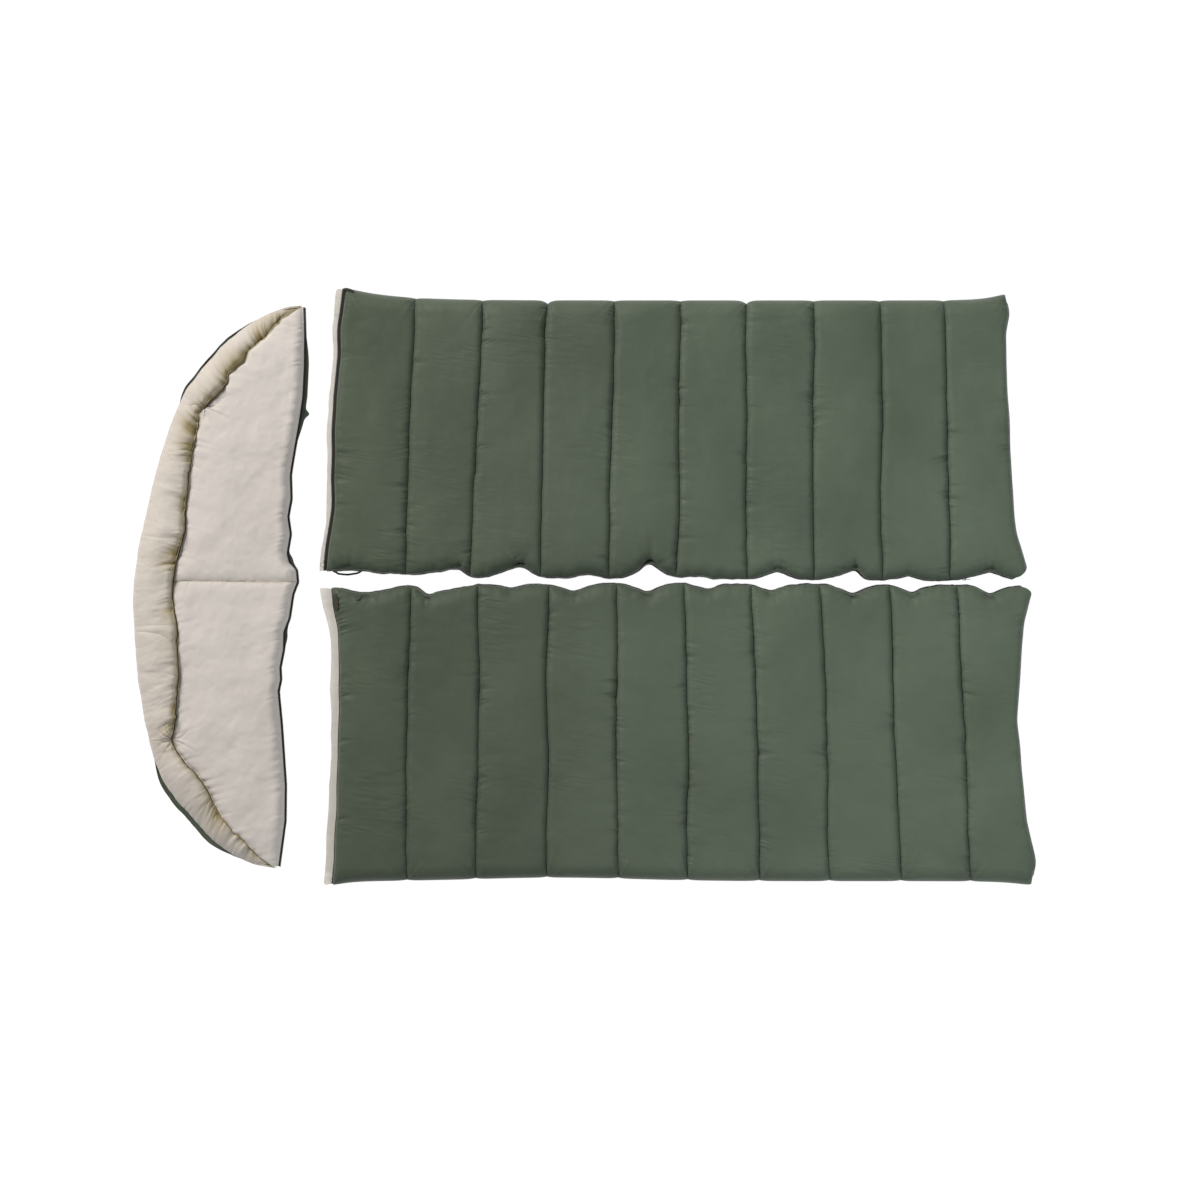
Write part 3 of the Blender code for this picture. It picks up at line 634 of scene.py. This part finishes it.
def shell_points(bag, up, grid):
    """The outer cloth of one layer, from the zip edge over the top and round to the fold."""
    round_steps, flat_steps, rows = grid
    chamber, s = bag.columns(round_steps, flat_steps)
    v = rows_across(rows)
    chamber, s, v = chamber[:, None], s[:, None], v[None, :]
    x, y = bag.plan(chamber, s, v)
    full = fullness(bag, s, v)
    pleats, wander = seam_pleats(bag, chamber, s, y)
    height = SEAM_LOW + (LOFT - SEAM_LOW) * full + broad_shape(x, y, bag.seed) * full
    folds = pleats + edge_folds(bag, chamber, s, v, x, y)
    height -= folds * full ** 0.5
    from_zip = v * bag.width
    height = 0.0015 + (height - 0.0015) * smoothstep(0.0, 0.0045, from_zip)
    y = y - bag.to_fold * 0.0052 * np.exp(-from_zip / 0.006) * smoothstep(0.0, 0.003, from_zip)
    lift = (SLEEP_HALF + height) * rise((1 - v) * bag.width, FOLD_ROUND, 2.0)
    toward = np.where(s < 0.5, -1.0, 1.0)
    ends = ((chamber == 0) & (s < 0.5)) | ((chamber == CHAMBERS - 1) & (s >= 0.5))
    lean = np.where(ends, 0.0, OVERHANG) * 4 * full * (1 - full)
    x = x + toward * (lean + wander)
    if up < 0:
        lift = np.minimum(lift, MID - 0.0006)
        x = x - head_strip(bag, chamber, s, v)
    lift = np.maximum(lift, 0.0014 * smoothstep(0.004, 0.01, bag.run_out(chamber, s, x)))
    # The second value is the fold depth, which the shell's material turns into painted shade in pleats,
    # folds and seams.
    return np.stack([x, y, MID + up * lift], axis=-1), folds / 0.02


def head_strip(bag, chamber, s, v):
    """How far the base reaches past the cover at the head."""
    width = soft_curve(bag.strip, v) + 0.001 * noise(30 * v, 0.0, bag.seed + 45)
    return width * np.clip(1 - (chamber + s), 0, 1)


def lining_points(bag, up):
    """The inner cloth of one layer: nearly flat, lightly quilted, turned up at the fold."""
    chamber, s = bag.columns(6, 12)
    v = rows_across(160)
    chamber, s, v = chamber[:, None], s[:, None], v[None, :]
    x, y = bag.plan(chamber, s, v)
    out = bag.run_out(chamber, s, x)
    if up > 0:
        y_zip = bag.zip_edge(x)
        y = y_zip + (y - y_zip) * (1 - out / np.abs(bag.fold_edge(chamber, s, x) - y_zip))
    soft = np.sin(math.pi * np.clip(s, 0, 1)) ** 0.6
    dip = 0.0022 * soft + 0.0007 * rough(x / 0.05, y / 0.07, bag.seed + 41)
    from_turn = np.maximum((bag.fold_y - y) * bag.to_fold - out, 0.0)
    lift = np.maximum((SLEEP_HALF - dip) * rise(from_turn, 0.012, 2.0), 0.001 if up > 0 else 0.0002)
    if up < 0:
        x = x - head_strip(bag, chamber, s, v)
        from_edge = (chamber + s) * bag.pitch
        tuck = (1 - ridged(y / 0.016, 0.7, bag.seed + 43)) * np.exp(-from_edge / 0.02)
        lift += 0.0016 * tuck * np.where(chamber == 0, 1.0, 0.0)
    z = MID + up * lift
    return np.stack([x, y, z], axis=-1)


# ---------------- cloth and zips of a bag

def edge_path(bag):
    """The zip edge of a bag in plan: along the side, round the corner and up the foot to the fold."""
    chamber, s = bag.columns(10, 24)
    x, y = bag.plan(chamber, s, np.zeros(len(s)))
    v = np.linspace(0.0, 1.0, 160)[1:]
    foot_x, foot_y = bag.plan(np.full(len(v), CHAMBERS - 1), np.ones(len(v)), v)
    path = np.stack([np.append(x, foot_x), np.append(y, foot_y), np.full(len(x) + len(v), MID)], axis=1)
    return resampled(path, PATH_STEP)


def head_path(bag):
    """The head edge of a cover in plan, from the zip to the fold."""
    v = np.linspace(0.0, 1.0, 200)
    x, y = bag.plan(np.zeros(200, int), np.zeros(200), v)
    return resampled(np.stack([x, y, np.full(200, MID)], axis=1), PATH_STEP)


def lifted(path, height):
    path = path.copy()
    path[:, 2] += height
    return path


def ribbon(name, path, thickness, height, material):
    """A flat band standing on edge along a path."""
    return tube(name, path, thickness / 2, material, sides=8, flatten=height / thickness)


def teeth(name, path, size, material):
    """A row of zip teeth along a path."""
    at = resampled(path, TOOTH_PITCH)
    return dashes(name, at, np.gradient(at, axis=0), upright(len(at)), size, material)


def fit(piece, body, slot, *nodes):
    """Attaches a piece to the body it rides on and hides the CAD nodes it stands for; slot, the finish, is
    not used.
    """
    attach(piece, body)
    if nodes:
        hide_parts(*nodes)


def store_painted_shade(piece, amount):
    """Stores on a piece of cloth how much painted shade each point gets, from how deep it lies in a fold
    or crease.
    """
    kept = piece.data.attributes.new("painted_fold_shade", "FLOAT", "POINT")
    kept.data.foreach_set("value", np.clip(amount, 0, 1).astype(np.float32).ravel())


def side_zip(bag, up, name):
    """Edge binding, tape and teeth of one half of a side zip, along the wavy edge."""
    out = bag.to_fold
    edge = edge_path(bag)
    binding = tube(
        f"{name}_binding_look", lifted(pushed(edge, out * 0.0002), up * (SLEEP_HALF + 0.0002)),
        0.0017, BINDING, flatten=1.4)
    fit(binding, name, "binding", f"{name}_edge_binding")
    short = edge[6:-6]
    standing = lifted(pushed(short, out * 0.002), up * 0.0064)
    tape = ribbon(f"{name}_tape_look", standing, 0.0009, 0.0076, TAPE)
    fit(tape, name, "zip_tape", f"{name}_zip_tape")
    coil = teeth(
        f"{name}_teeth_look", lifted(pushed(short, out * COIL_OUT), up * COIL_UP),
        SIDE_TOOTH, NYLON)
    fit(coil, name, "zip_coil", f"{name}_zip_coil")


def seam_stitches(shell, up, name):
    """Stitches sunk in each quilting seam, and the thread that shows between them."""
    count = (shell.shape[0] - 1) // CHAMBERS
    centres, alongs = [], []
    for number in range(1, CHAMBERS):
        line = shell[number * count].copy()
        line[:, 2] -= up * 0.0004
        at = resampled(line[2:-10], 0.0036)
        centres.append(at)
        alongs.append(np.gradient(at, axis=0))
    centres, alongs = np.vstack(centres), np.vstack(alongs)
    ups = upright(len(centres), up)
    stitches = dashes(f"{name}_stitches", centres, alongs, ups, (0.0026, 0.0008, 0.0007), THREAD)
    fit(stitches, name, "shell")


def layer(bag, up):
    """Outer cloth and lining of one layer of a bag."""
    name = f"{bag.prefix}_{'cover' if up > 0 else 'base'}"
    outer, folds = shell_points(bag, up, (12, 30, ROWS) if up > 0 else (6, 8, 180))
    shell = grid_mesh(f"{name}_shell_look", outer, SHELL)
    # painted shade in the shell's folds and seams
    store_painted_shade(shell, folds)
    fit(shell, name, "shell", f"{name}_shell", f"{name}_fill")
    inner = lining_points(bag, up)
    lining = grid_mesh(f"{name}_lining_look", inner, LINING)
    fit(lining, name, "lining", f"{name}_lining")
    seam_stitches(outer, up, name)
    side_zip(bag, up, name)
    return outer, inner


def fold_strip(bag):
    """The lining's run over the fold, from base to cover: a narrow strip."""
    chamber, s = bag.columns(8, 16)
    x, y = bag.plan(chamber, s, np.ones(len(s)))
    keep = bag.run_out(chamber, s, x) < 0.006
    x, y = x[keep], y[keep] - bag.to_fold * 0.0012
    half = 0.0008
    rows = np.linspace(-half, half, 13)
    points = np.stack(np.broadcast_arrays(x[:, None], y[:, None], MID + rows[None, :]), axis=-1)
    strip = grid_mesh(f"{bag.prefix}_fold_strip", points, LINING)
    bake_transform(strip)


def head_hem(bag, inner):
    """The turned hem of the base lining, which shows past the cover at the head."""
    edge = inner[0].copy()
    edge[:, 2] -= 0.0022
    hem = tube(f"{bag.prefix}_head_hem", resampled(edge, PATH_STEP), 0.0026, LINING)
    fit(hem, f"{bag.prefix}_base", "lining")


def head_zip(bag):
    """The black zip on the head edge of bag a's cover, folded under at the fold corner."""
    edge = head_path(bag)
    out = -bag.to_fold
    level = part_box("bag_a_head_zip_tape")
    height = (level[0][2] + level[1][2]) / 2 - MID
    line = lifted(pushed(edge, out * 0.0044), height)
    tape = tube("bag_a_head_tape_look", line, 0.0056, TAPE, flatten=0.12)
    fit(tape, "bag_a_cover", "zip_tape", "bag_a_head_zip_tape")
    corner = line[-1]
    turned = corner + np.array(
        [(-0.002, -0.002, 0.002), (0.006, -0.003, 0.016), (0.016, -0.006, 0.023), (0.027, -0.011, 0.028)])
    end = tube("bag_a_head_tape_end_look", resampled(turned, 0.002), 0.0036, TAPE, flatten=0.5)
    fit(end, "bag_a_cover", "zip_tape")
    coil = lifted(pushed(edge[8:], out * 0.01), height)
    fit(teeth("bag_a_head_teeth_look", coil, HEAD_TOOTH, NYLON),
        "bag_a_cover", "zip_coil", "bag_a_head_zip_coil")


def webbing_loop():
    """A webbing loop sewn under the zip edge of bag a's base, beside its head corner."""
    low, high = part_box("bag_a_webbing_loop")
    share = np.linspace(0.0, 1.0, 60)
    x = low[0] + (high[0] - low[0]) * share
    swing = np.sin(math.pi * share) ** 0.62
    y = BAG_A.zip_edge(x) + 0.002 - 0.0155 * swing
    path = np.stack([x, y, high[2] - 0.001 - 0.004 * swing], axis=1)
    band = tube("bag_a_webbing_loop_look", path, 0.0027, TAPE, sides=12, flatten=1.2)
    fit(band, "bag_a_base", "zip_tape", "bag_a_webbing_loop")


def surface_patch(name, shell, middle, half, slant, lift, material):
    """A small flat piece of cloth lying on the head chamber of a shell, turned by slant."""
    u, w = np.meshgrid(
        np.linspace(-half[0], half[0], 12), np.linspace(-half[1], half[1], 24), indexing="ij")
    u = u * np.sqrt(1 - 0.8 * (w / half[1]) ** 2)
    x = middle[0] + u * math.cos(slant) - w * math.sin(slant)
    y = middle[1] + u * math.sin(slant) + w * math.cos(slant)
    near = shell[: len(shell) // CHAMBERS].reshape(-1, 3)
    near = near[np.hypot(near[:, 0] - middle[0], near[:, 1] - middle[1]) < 0.045]
    away = np.hypot(x[..., None] - near[:, 0], y[..., None] - near[:, 1])
    weight = np.exp(-((away / 0.004) ** 2)) + 1e-12
    z = (weight * near[:, 2]).sum(axis=-1) / weight.sum(axis=-1)
    patch = grid_mesh(name, np.stack([x, y, z + lift], axis=-1), material)
    thicken(patch, 0.0016)
    return patch


def bag_b_trim(shell):
    """Bag b's head binding, the folded tape end on its corner, and a small patch by the zip."""
    head = lifted(pushed(head_path(BAG_B), 0.0014), SLEEP_HALF + 0.0022)
    fit(tube("bag_b_head_binding_look", head, 0.0022, BINDING), "bag_b_cover", "binding")
    corner = surface_patch("bag_b_tape_end_look", shell, (-0.6795, -0.0335), (0.0088, 0.0235),
                           math.radians(3), 0.0042, TAPE_END)
    fit(corner, "bag_b_cover", "binding", "bag_b_corner_tape_end")
    patch = surface_patch("bag_b_zip_patch_look", shell, (-0.6186, -0.0145), (0.01, 0.011),
                          math.radians(24), 0.0034, ZIP_PATCH)
    fit(patch, "bag_b_cover", "binding")


# ---------------- hood

# Lines of the hood from its centre seam out to each tip, measured from HOOD_AT
HOOD_EDGE = {
    "right": (
        (-0.019, 0.014), (-0.022, 0.047), (-0.042, 0.069), (-0.048, 0.094), (-0.039, 0.147),
        (-0.046, 0.196), (-0.037, 0.246), (-0.039, 0.313), (-0.033, 0.351), (-0.014, 0.462),
        (-0.004, 0.531), (0.000, 0.614), (0.001, 0.711), (-0.001, 0.78),
    ),
    "left": (
        (-0.019, 0.014), (-0.032, -0.019), (-0.042, -0.086), (-0.057, -0.124), (-0.058, -0.174),
        (-0.068, -0.224), (-0.066, -0.257), (-0.073, -0.29), (-0.064, -0.384), (-0.053, -0.55),
        (-0.054, -0.65), (-0.071, -0.777),
    ),
}
HOOD_CREASE = {
    "right": (
        (-0.361, 0.017), (-0.351, 0.054), (-0.331, 0.144), (-0.323, 0.199), (-0.31, 0.331),
        (-0.295, 0.432), (-0.289, 0.479), (-0.27, 0.501), (-0.215, 0.557), (-0.199, 0.592),
        (-0.165, 0.62), (-0.149, 0.654), (-0.122, 0.678), (-0.059, 0.747), (-0.01, 0.78),
    ),
    "left": (
        (-0.361, 0.017), (-0.361, -0.03), (-0.351, -0.108), (-0.344, -0.216), (-0.348, -0.358),
        (-0.363, -0.42), (-0.348, -0.459), (-0.328, -0.491), (-0.299, -0.514), (-0.27, -0.553),
        (-0.235, -0.622), (-0.188, -0.682), (-0.16, -0.705), (-0.129, -0.746), (-0.086, -0.778),
    ),
}
HOOD_OUTER = {
    "right": (
        (-0.473, 0.017), (-0.456, 0.136), (-0.434, 0.224), (-0.407, 0.34), (-0.365, 0.47),
        (-0.329, 0.55), (-0.277, 0.617), (-0.23, 0.669), (-0.166, 0.725), (-0.1, 0.762),
        (-0.044, 0.781), (-0.004, 0.784),
    ),
    "left": (
        (-0.473, 0.017), (-0.476, -0.039), (-0.47, -0.152), (-0.462, -0.263), (-0.443, -0.376),
        (-0.418, -0.478), (-0.39, -0.545), (-0.346, -0.603), (-0.249, -0.711), (-0.188, -0.752),
        (-0.136, -0.774), (-0.076, -0.783),
    ),
}
HOOD_KNOTS = {"right": (-0.27, 0.501), "left": (-0.363, -0.42)}     # where the crease turns a corner
MAIN_HEIGHT, RIM_HEIGHT = 0.036, 0.06
HOOD_AT = np.array([
    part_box("hood_shell")[1][0] - 0.007,
    (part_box("hood_shell")[0][1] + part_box("hood_shell")[1][1]) / 2,
])


def even_line(points, count, soften, seed=None, wander=0.0, jag=0.0):
    """A line through a few points, spaced evenly and with softened corners, from the seam out."""
    points = np.array(points)
    steps = np.append(0.0, np.cumsum(np.linalg.norm(np.diff(points, axis=0), axis=1)))
    places = np.linspace(0.0, steps[-1], 600)
    line = np.stack([np.interp(places, steps, points[:, axis]) for axis in range(2)], axis=1)
    window = np.hanning(2 * soften + 3)
    window /= window.sum()
    for axis in range(2):
        padded = np.pad(line[:, axis], soften + 1, mode="reflect", reflect_type="odd")
        line[:, axis] = np.convolve(padded, window, mode="valid")
    if seed is not None:
        ends = smoothstep(0.0, 0.04, places) * smoothstep(0.0, 0.1, steps[-1] - places)
        line[:, 0] += wander * rough(places / 0.042, 0.5, seed) * ends
        line[:, 1] += wander * rough(places / 0.036, 3.5, seed) * ends
        bite = np.clip(noise(places / 0.085, 6.5, seed + 30) + 0.55, 0, 1)
        line[:, 0] -= jag * (1 - ridged(places / 0.021, 8.5, seed + 31, 0.7)) * bite * ends
    wanted = np.linspace(0.0, 599.0, count)
    return np.stack([np.interp(wanted, np.arange(600), line[:, axis]) for axis in range(2)], axis=1)


def hood_line(name, word, count):
    if name == "edge":
        return even_line(HOOD_EDGE[word], count, 6)
    if name == "crease":
        return even_line(HOOD_CREASE[word], count, 3, 61 if word == "left" else 66, 0.0034, 0.006)
    return even_line(HOOD_OUTER[word], count, 16, 64 if word == "left" else 68, 0.0012)


def hood_world(flat, height):
    return np.concatenate([flat + HOOD_AT, np.broadcast_to(height, flat.shape[:-1])[..., None]], axis=-1)


def between(low, high, share):
    """Plan points from one hood line to another, and how far apart the lines are."""
    apart = high - low
    return low[:, None] + apart[:, None] * share[None, :, None], np.linalg.norm(apart, axis=1)[:, None]


def run_of(line):
    """Length along a line, as a column."""
    return np.append(0.0, np.cumsum(np.linalg.norm(np.diff(line, axis=0), axis=1)))[:, None]


def knot_folds(flat, word, seed):
    """Star folds round the corner of the crease."""
    off = flat - np.array(HOOD_KNOTS[word])
    away = np.hypot(off[..., 0], off[..., 1])
    turn = np.arctan2(off[..., 1], off[..., 0])
    return 0.01 * np.exp(-((away / 0.045) ** 1.3)) * (1 - ridged(turn * 3.2, away / 0.06, seed, 0.6))


def hood_panel_points(word):
    """One half of the hood's middle, from the straight edge up to the crease."""
    side = 1.0 if word == "right" else -1.0
    share = rows_across(150)
    edge, crease = hood_line("edge", word, 330), hood_line("crease", word, 330)
    flat, reach = between(edge, crease, share)
    x, y = flat[..., 0], flat[..., 1]
    from_edge, from_crease = share * reach, (1 - share) * reach
    from_seam = np.abs(run_of((edge + crease) / 2) + 0 * share)
    puff = rise(from_edge, 0.03, 2.2) * (0.58 + 0.42 * rise(from_crease, 0.016, 2.6))
    puff *= (0.8 + 0.2 * rise(from_seam, 0.03, 2.2))
    puff *= (0.55 + 0.45 * smoothstep(0.0, 0.16, reach))
    slow = 0.005 * noise(x / 0.12, y / 0.16, 71) + 0.002 * rough(x / 0.05, y / 0.05, 72)
    height = 0.006 + (MAIN_HEIGHT + slow) * puff
    fan = y + 0.25 * from_crease * side
    strength = 0.4 + np.clip(noise(y / 0.1, 0.5 + side, 77) + 0.3, 0, 1)
    pleat = 1 - ridged(fan / 0.019, 0.5 + side, 73, 0.8)
    height -= 0.01 * strength * pleat * beside(from_crease, 0.022)
    small = 1 - ridged(fan / 0.0085, 1.5 + side, 74)
    height -= 0.0034 * strength * small * beside(from_crease, 0.012)
    tuck = 1 - ridged((y + 0.3 * from_edge) / 0.0125, 2.5 + side, 75, 0.6)
    height -= 0.007 * tuck * beside(from_edge, 0.017)
    gather = 1 - ridged((x + 0.3 * from_seam) / 0.014, 3.5 + side, 76)
    height -= 0.004 * gather * beside(from_seam, 0.013, 0.003)
    folds = knot_folds(flat, word, 78)
    height -= folds * puff
    tip = 1 - smoothstep(0.03, 0.16, reach)
    height -= 0.004 * tip * (1 - ridged(run_of(edge) / 0.022, x / 0.05, 79)) * puff
    # Painted shade with an olive tone: a dark line along the crease, darker pleat valleys, star folds and
    # the centre seam.
    shade_and_tint = np.exp(-((from_crease / 0.0022) ** 2))
    shade_and_tint = shade_and_tint + 0.3 * strength * pleat ** 3 * np.exp(-from_crease / 0.012) + 20.0 * folds
    shade_and_tint = shade_and_tint + 0.34 * np.exp(-((from_seam / 0.0016) ** 2)) + 0.08 * np.exp(-from_seam / 0.01)
    return hood_world(flat, np.maximum(height, 0.004)), shade_and_tint


def hood_rim_points():
    """The padded roll round the hood, from the crease over to the outer edge."""
    share = 0.5 - 0.5 * np.cos(np.linspace(0.0, math.pi, 80))
    crease, outer = whole_line("crease", 560), whole_line("outer", 560)
    flat, width = between(crease, outer, share)
    run = run_of(crease)
    from_crease, from_outer = share * width, (1 - share) * width
    arch = (0.55 + 0.45 * rise(from_crease, 0.018, 2.4)) * rise(from_outer, 0.07, 1.9)
    height = np.minimum(RIM_HEIGHT, 0.62 * width + 0.006) * arch
    height += 0.004 * noise(run / 0.11, from_crease / 0.07, 81) * arch
    height += 0.002 * rough(run / 0.03, from_crease / 0.05, 82) * arch
    strength = 0.3 + np.clip(noise(run / 0.075, 0.4, 86) + 0.35, 0, 1)
    bend = 0.5 * from_crease * noise(run / 0.05, 0.8, 87)
    gather = 1 - ridged((run + bend) / 0.019, 0.5, 83, 0.8)
    fine = 1 - ridged((run + bend) / 0.012, 1.5, 84, 0.6)
    long_reach = 0.012 + 0.026 * np.clip(noise(run / 0.03, 0.9, 89) + 0.1, 0, 1)
    height -= 0.015 * strength * gather * beside(from_crease, long_reach)
    height -= 0.013 * strength * fine * beside(from_crease, 0.02)
    cross = 1 - ridged((run + 2 * bend) / 0.05, 2.5, 90, 0.5)
    height -= 0.0042 * cross * arch
    tuck = 1 - ridged(run / 0.013, 1.8, 85, 0.6)
    height -= 0.005 * tuck * beside(from_outer, 0.013)
    folds = knot_folds(flat, "left", 88) + knot_folds(flat, "right", 94)
    height -= folds * arch
    # Painted shade with an olive tone: the crease line, star folds and gathers darker, plus an even olive
    # tone over the whole rim.
    shade_and_tint = 0.15 + 0.9 * np.exp(-((from_crease / 0.0022) ** 2)) + 20.0 * folds
    spread = 0.016 + 0.022 * np.clip(noise(run / 0.045, 0.9, 95) + 0.3, 0, 1)
    gathered = strength * (0.34 + 0.55 * gather ** 2 + 0.65 * fine ** 3)
    shade_and_tint += gathered * np.exp(-((from_crease / spread) ** 1.5))
    return hood_world(flat, 0.005 + np.maximum(height, 0.0)), shade_and_tint


def hood_pieces():
    for part, made, nodes in (
        ("left_panel", hood_panel_points("left"), ("hood_left_lining", "hood_left_fill")),
        ("right_panel", hood_panel_points("right"), ("hood_right_lining", "hood_right_fill")),
        ("rim", hood_rim_points(), ("hood_rim_cover", "hood_rim_fill")),
    ):
        points, shade_and_tint = made
        shade_and_tint = np.broadcast_to(shade_and_tint, points.shape[:2])
        if part != "left_panel":
            points, shade_and_tint = points[:, ::-1], shade_and_tint[:, ::-1]
        piece = grid_mesh(f"hood_{part}_look", points, HOOD_LINING)
        # painted shade with an olive tone in the hood's crease, folds, gathers and seam
        store_painted_shade(piece, shade_and_tint)
        fit(piece, "hood", "lining", *nodes)
    hood_shell()
    hood_zip()
    seam = np.stack([hood_line("edge", "left", 2)[0], hood_line("crease", "left", 2)[0]])
    path = hood_world(np.linspace(seam[0], seam[1], 300), 0.006 + 0.8 * MAIN_HEIGHT)
    path = resampled(path, 0.0042)[8:-8]
    stitches = dashes("hood_seam_stitches", path, np.gradient(path, axis=0), upright(len(path)),
                      (0.0028, 0.0008, 0.0008), CREAM_THREAD)
    fit(stitches, "hood", "lining")


def whole_line(name, count):
    """A hood line from the left tip through the middle to the right tip."""
    left, right = hood_line(name, "left", count), hood_line(name, "right", count)
    return np.concatenate([left[::-1], right[1:]])


def hood_shell():
    """The green outer cloth under the hood, which shows as a thin edge beside the cream."""
    outer, edge = whole_line("outer", 260), whole_line("edge", 260)
    place = outer[:, 1]
    show = 0.012 * smoothstep(0.46, 0.56, place) + 0.019 * smoothstep(0.42, 0.58, -place)
    show = show * smoothstep(0.79, 0.69, np.abs(place)) - 0.006
    along = unit(np.gradient(outer, axis=0))
    outward = np.stack([-along[:, 1], along[:, 0]], axis=1)
    rim = outer + outward * (show + 0.001 * noise(place / 0.03, 0.3, 91))[:, None]
    where = edge[:, 1]
    peek = 0.0035 + 0.01 * smoothstep(0.38, 0.47, where) * smoothstep(0.74, 0.62, where)
    for extra, middle, reach in ((0.01, 0.075, 0.022), (0.008, -0.135, 0.03), (0.012, 0.482, 0.01)):
        peek += extra * np.exp(-(((where - middle) / reach) ** 2))
    straight = edge + np.stack([peek, 0 * peek], axis=1)
    share = np.linspace(0.0, 1.0, 40)
    flat, _ = between(straight, rim, share)
    lift = 0.0022 + 0.001 * noise(flat[..., 0] / 0.03, flat[..., 1] / 0.03, 92)
    shell = grid_mesh("hood_shell_look", hood_world(flat, lift)[:, ::-1], SHELL)
    thicken(shell, 0.0014)
    fit(shell, "hood", "shell", "hood_shell")
    piping = hood_world(rim - outward * 0.0008, 0.004)
    fit(tube("hood_piping_look", piping, 0.0017, PIPING), "hood", "shell", "hood_edge_piping")


def hood_zip():
    """The black zip along the hood's straight edge."""
    line = resampled(hood_world(whole_line("edge", 300), 0.0062), PATH_STEP)
    tape = tube("hood_tape_look", pushed(line, 0.0015), 0.004, TAPE, flatten=0.3)
    fit(tape, "hood", "zip_tape", "hood_zip_tape")
    coil = teeth("hood_teeth_look", pushed(line, 0.0052), HEAD_TOOTH, NYLON)
    fit(coil, "hood", "zip_coil", "hood_zip_coil")


# ---------------- pieces kept from the frame

def finish_kept_nodes():
    """Procedural materials for the CAD pieces that stay."""
    finishes = {
        "slider": METAL, "pull": METAL, "end_ring": BRASS, "zip_box": NYLON, "zip_pin": NYLON,
    }
    for name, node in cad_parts.items():
        for word, made in finishes.items():
            if word in name:
                for number in range(len(node.data.materials)):
                    node.data.materials[number] = made


# ---------------- floor, light and camera

def studio():
    floor_mesh = bpy.data.meshes.new("floor")
    corners = [(x * FLOOR_REACH, y * FLOOR_REACH, 0) for x, y in ((-1, -1), (1, -1), (1, 1), (-1, 1))]
    floor_mesh.from_pydata(corners, [], [(0, 1, 2, 3)])
    floor = placed("floor", floor_mesh)
    nodes = Nodes("white_floor")
    nodes.shader.inputs["Base Color"].default_value = (0.02, 0.02, 0.02, 1.0)
    nodes.shader.inputs["Roughness"].default_value = 1.0
    nodes.shader.inputs["Specular IOR Level"].default_value = 0.0
    nodes.shader.inputs["Emission Color"].default_value = (1.0, 1.0, 1.0, 1.0)
    nodes.shader.inputs["Emission Strength"].default_value = 1.0
    floor_mesh.materials.append(nodes.material)

    world = bpy.data.worlds.new("studio")
    world.use_nodes = True
    background = world.node_tree.nodes["Background"]
    background.inputs["Color"].default_value = (1.0, 1.0, 1.0, 1.0)
    background.inputs["Strength"].default_value = 0.36
    bpy.context.scene.world = world
    lamp("key", (-5.0, 5.2, 4.6), 2.6, 860.0, (1.0, 0.975, 0.94))
    lamp("fill", (5.5, -3.0, 7.0), 4.0, 360.0, (0.93, 0.975, 1.0))
    bpy.context.scene.view_settings.view_transform = "Standard"


def lamp(name, place, size, power, colour):
    data = bpy.data.lights.new(name, "AREA")
    data.color, data.size, data.energy = colour, size, power
    made = placed(name, data)
    made.location = place
    made.rotation_euler = (-Vector(place)).to_track_quat("-Z", "Y").to_euler()


def camera():
    """Straight down on the layout, a little towards the foot."""
    data = bpy.data.cameras.new("camera")
    data.lens, data.sensor_width = LENS_MM, SENSOR_MM
    made = placed("camera", data)
    made.location = (*VIEW_CENTRE, VIEW_WIDTH * LENS_MM / SENSOR_MM + VIEW_LEVEL)
    bpy.context.scene.camera = made


# ---------------- the whole set

BAG_A = Bag("bag_a", 100, TROUGHS_A, (-0.004, -0.003, -0.3), (HEAD_A, FOOT_A), STRIP_A,
            ((0.035, 0.12), (0.02, 0.045), 0.0, (3, 6)), ((0.105, 0.8895), (0.105, 0.909)))
BAG_B = Bag("bag_b", 500, TROUGHS_B, (-0.012, 0.007, 0.3), (HEAD_B, FOOT_B), STRIP_B,
            ((0.013, 0.04), (0.012, 0.06), 0.01, ()), ((0.1094, 0.89), (0.1046, 0.9136)))

for bag in (BAG_A, BAG_B):
    outer, _ = layer(bag, 1.0)
    _, base_lining = layer(bag, -1.0)
    head_hem(bag, base_lining)
    fold_strip(bag)
head_zip(BAG_A)
webbing_loop()
bag_b_trim(outer)
hood_pieces()
finish_kept_nodes()
studio()
camera()
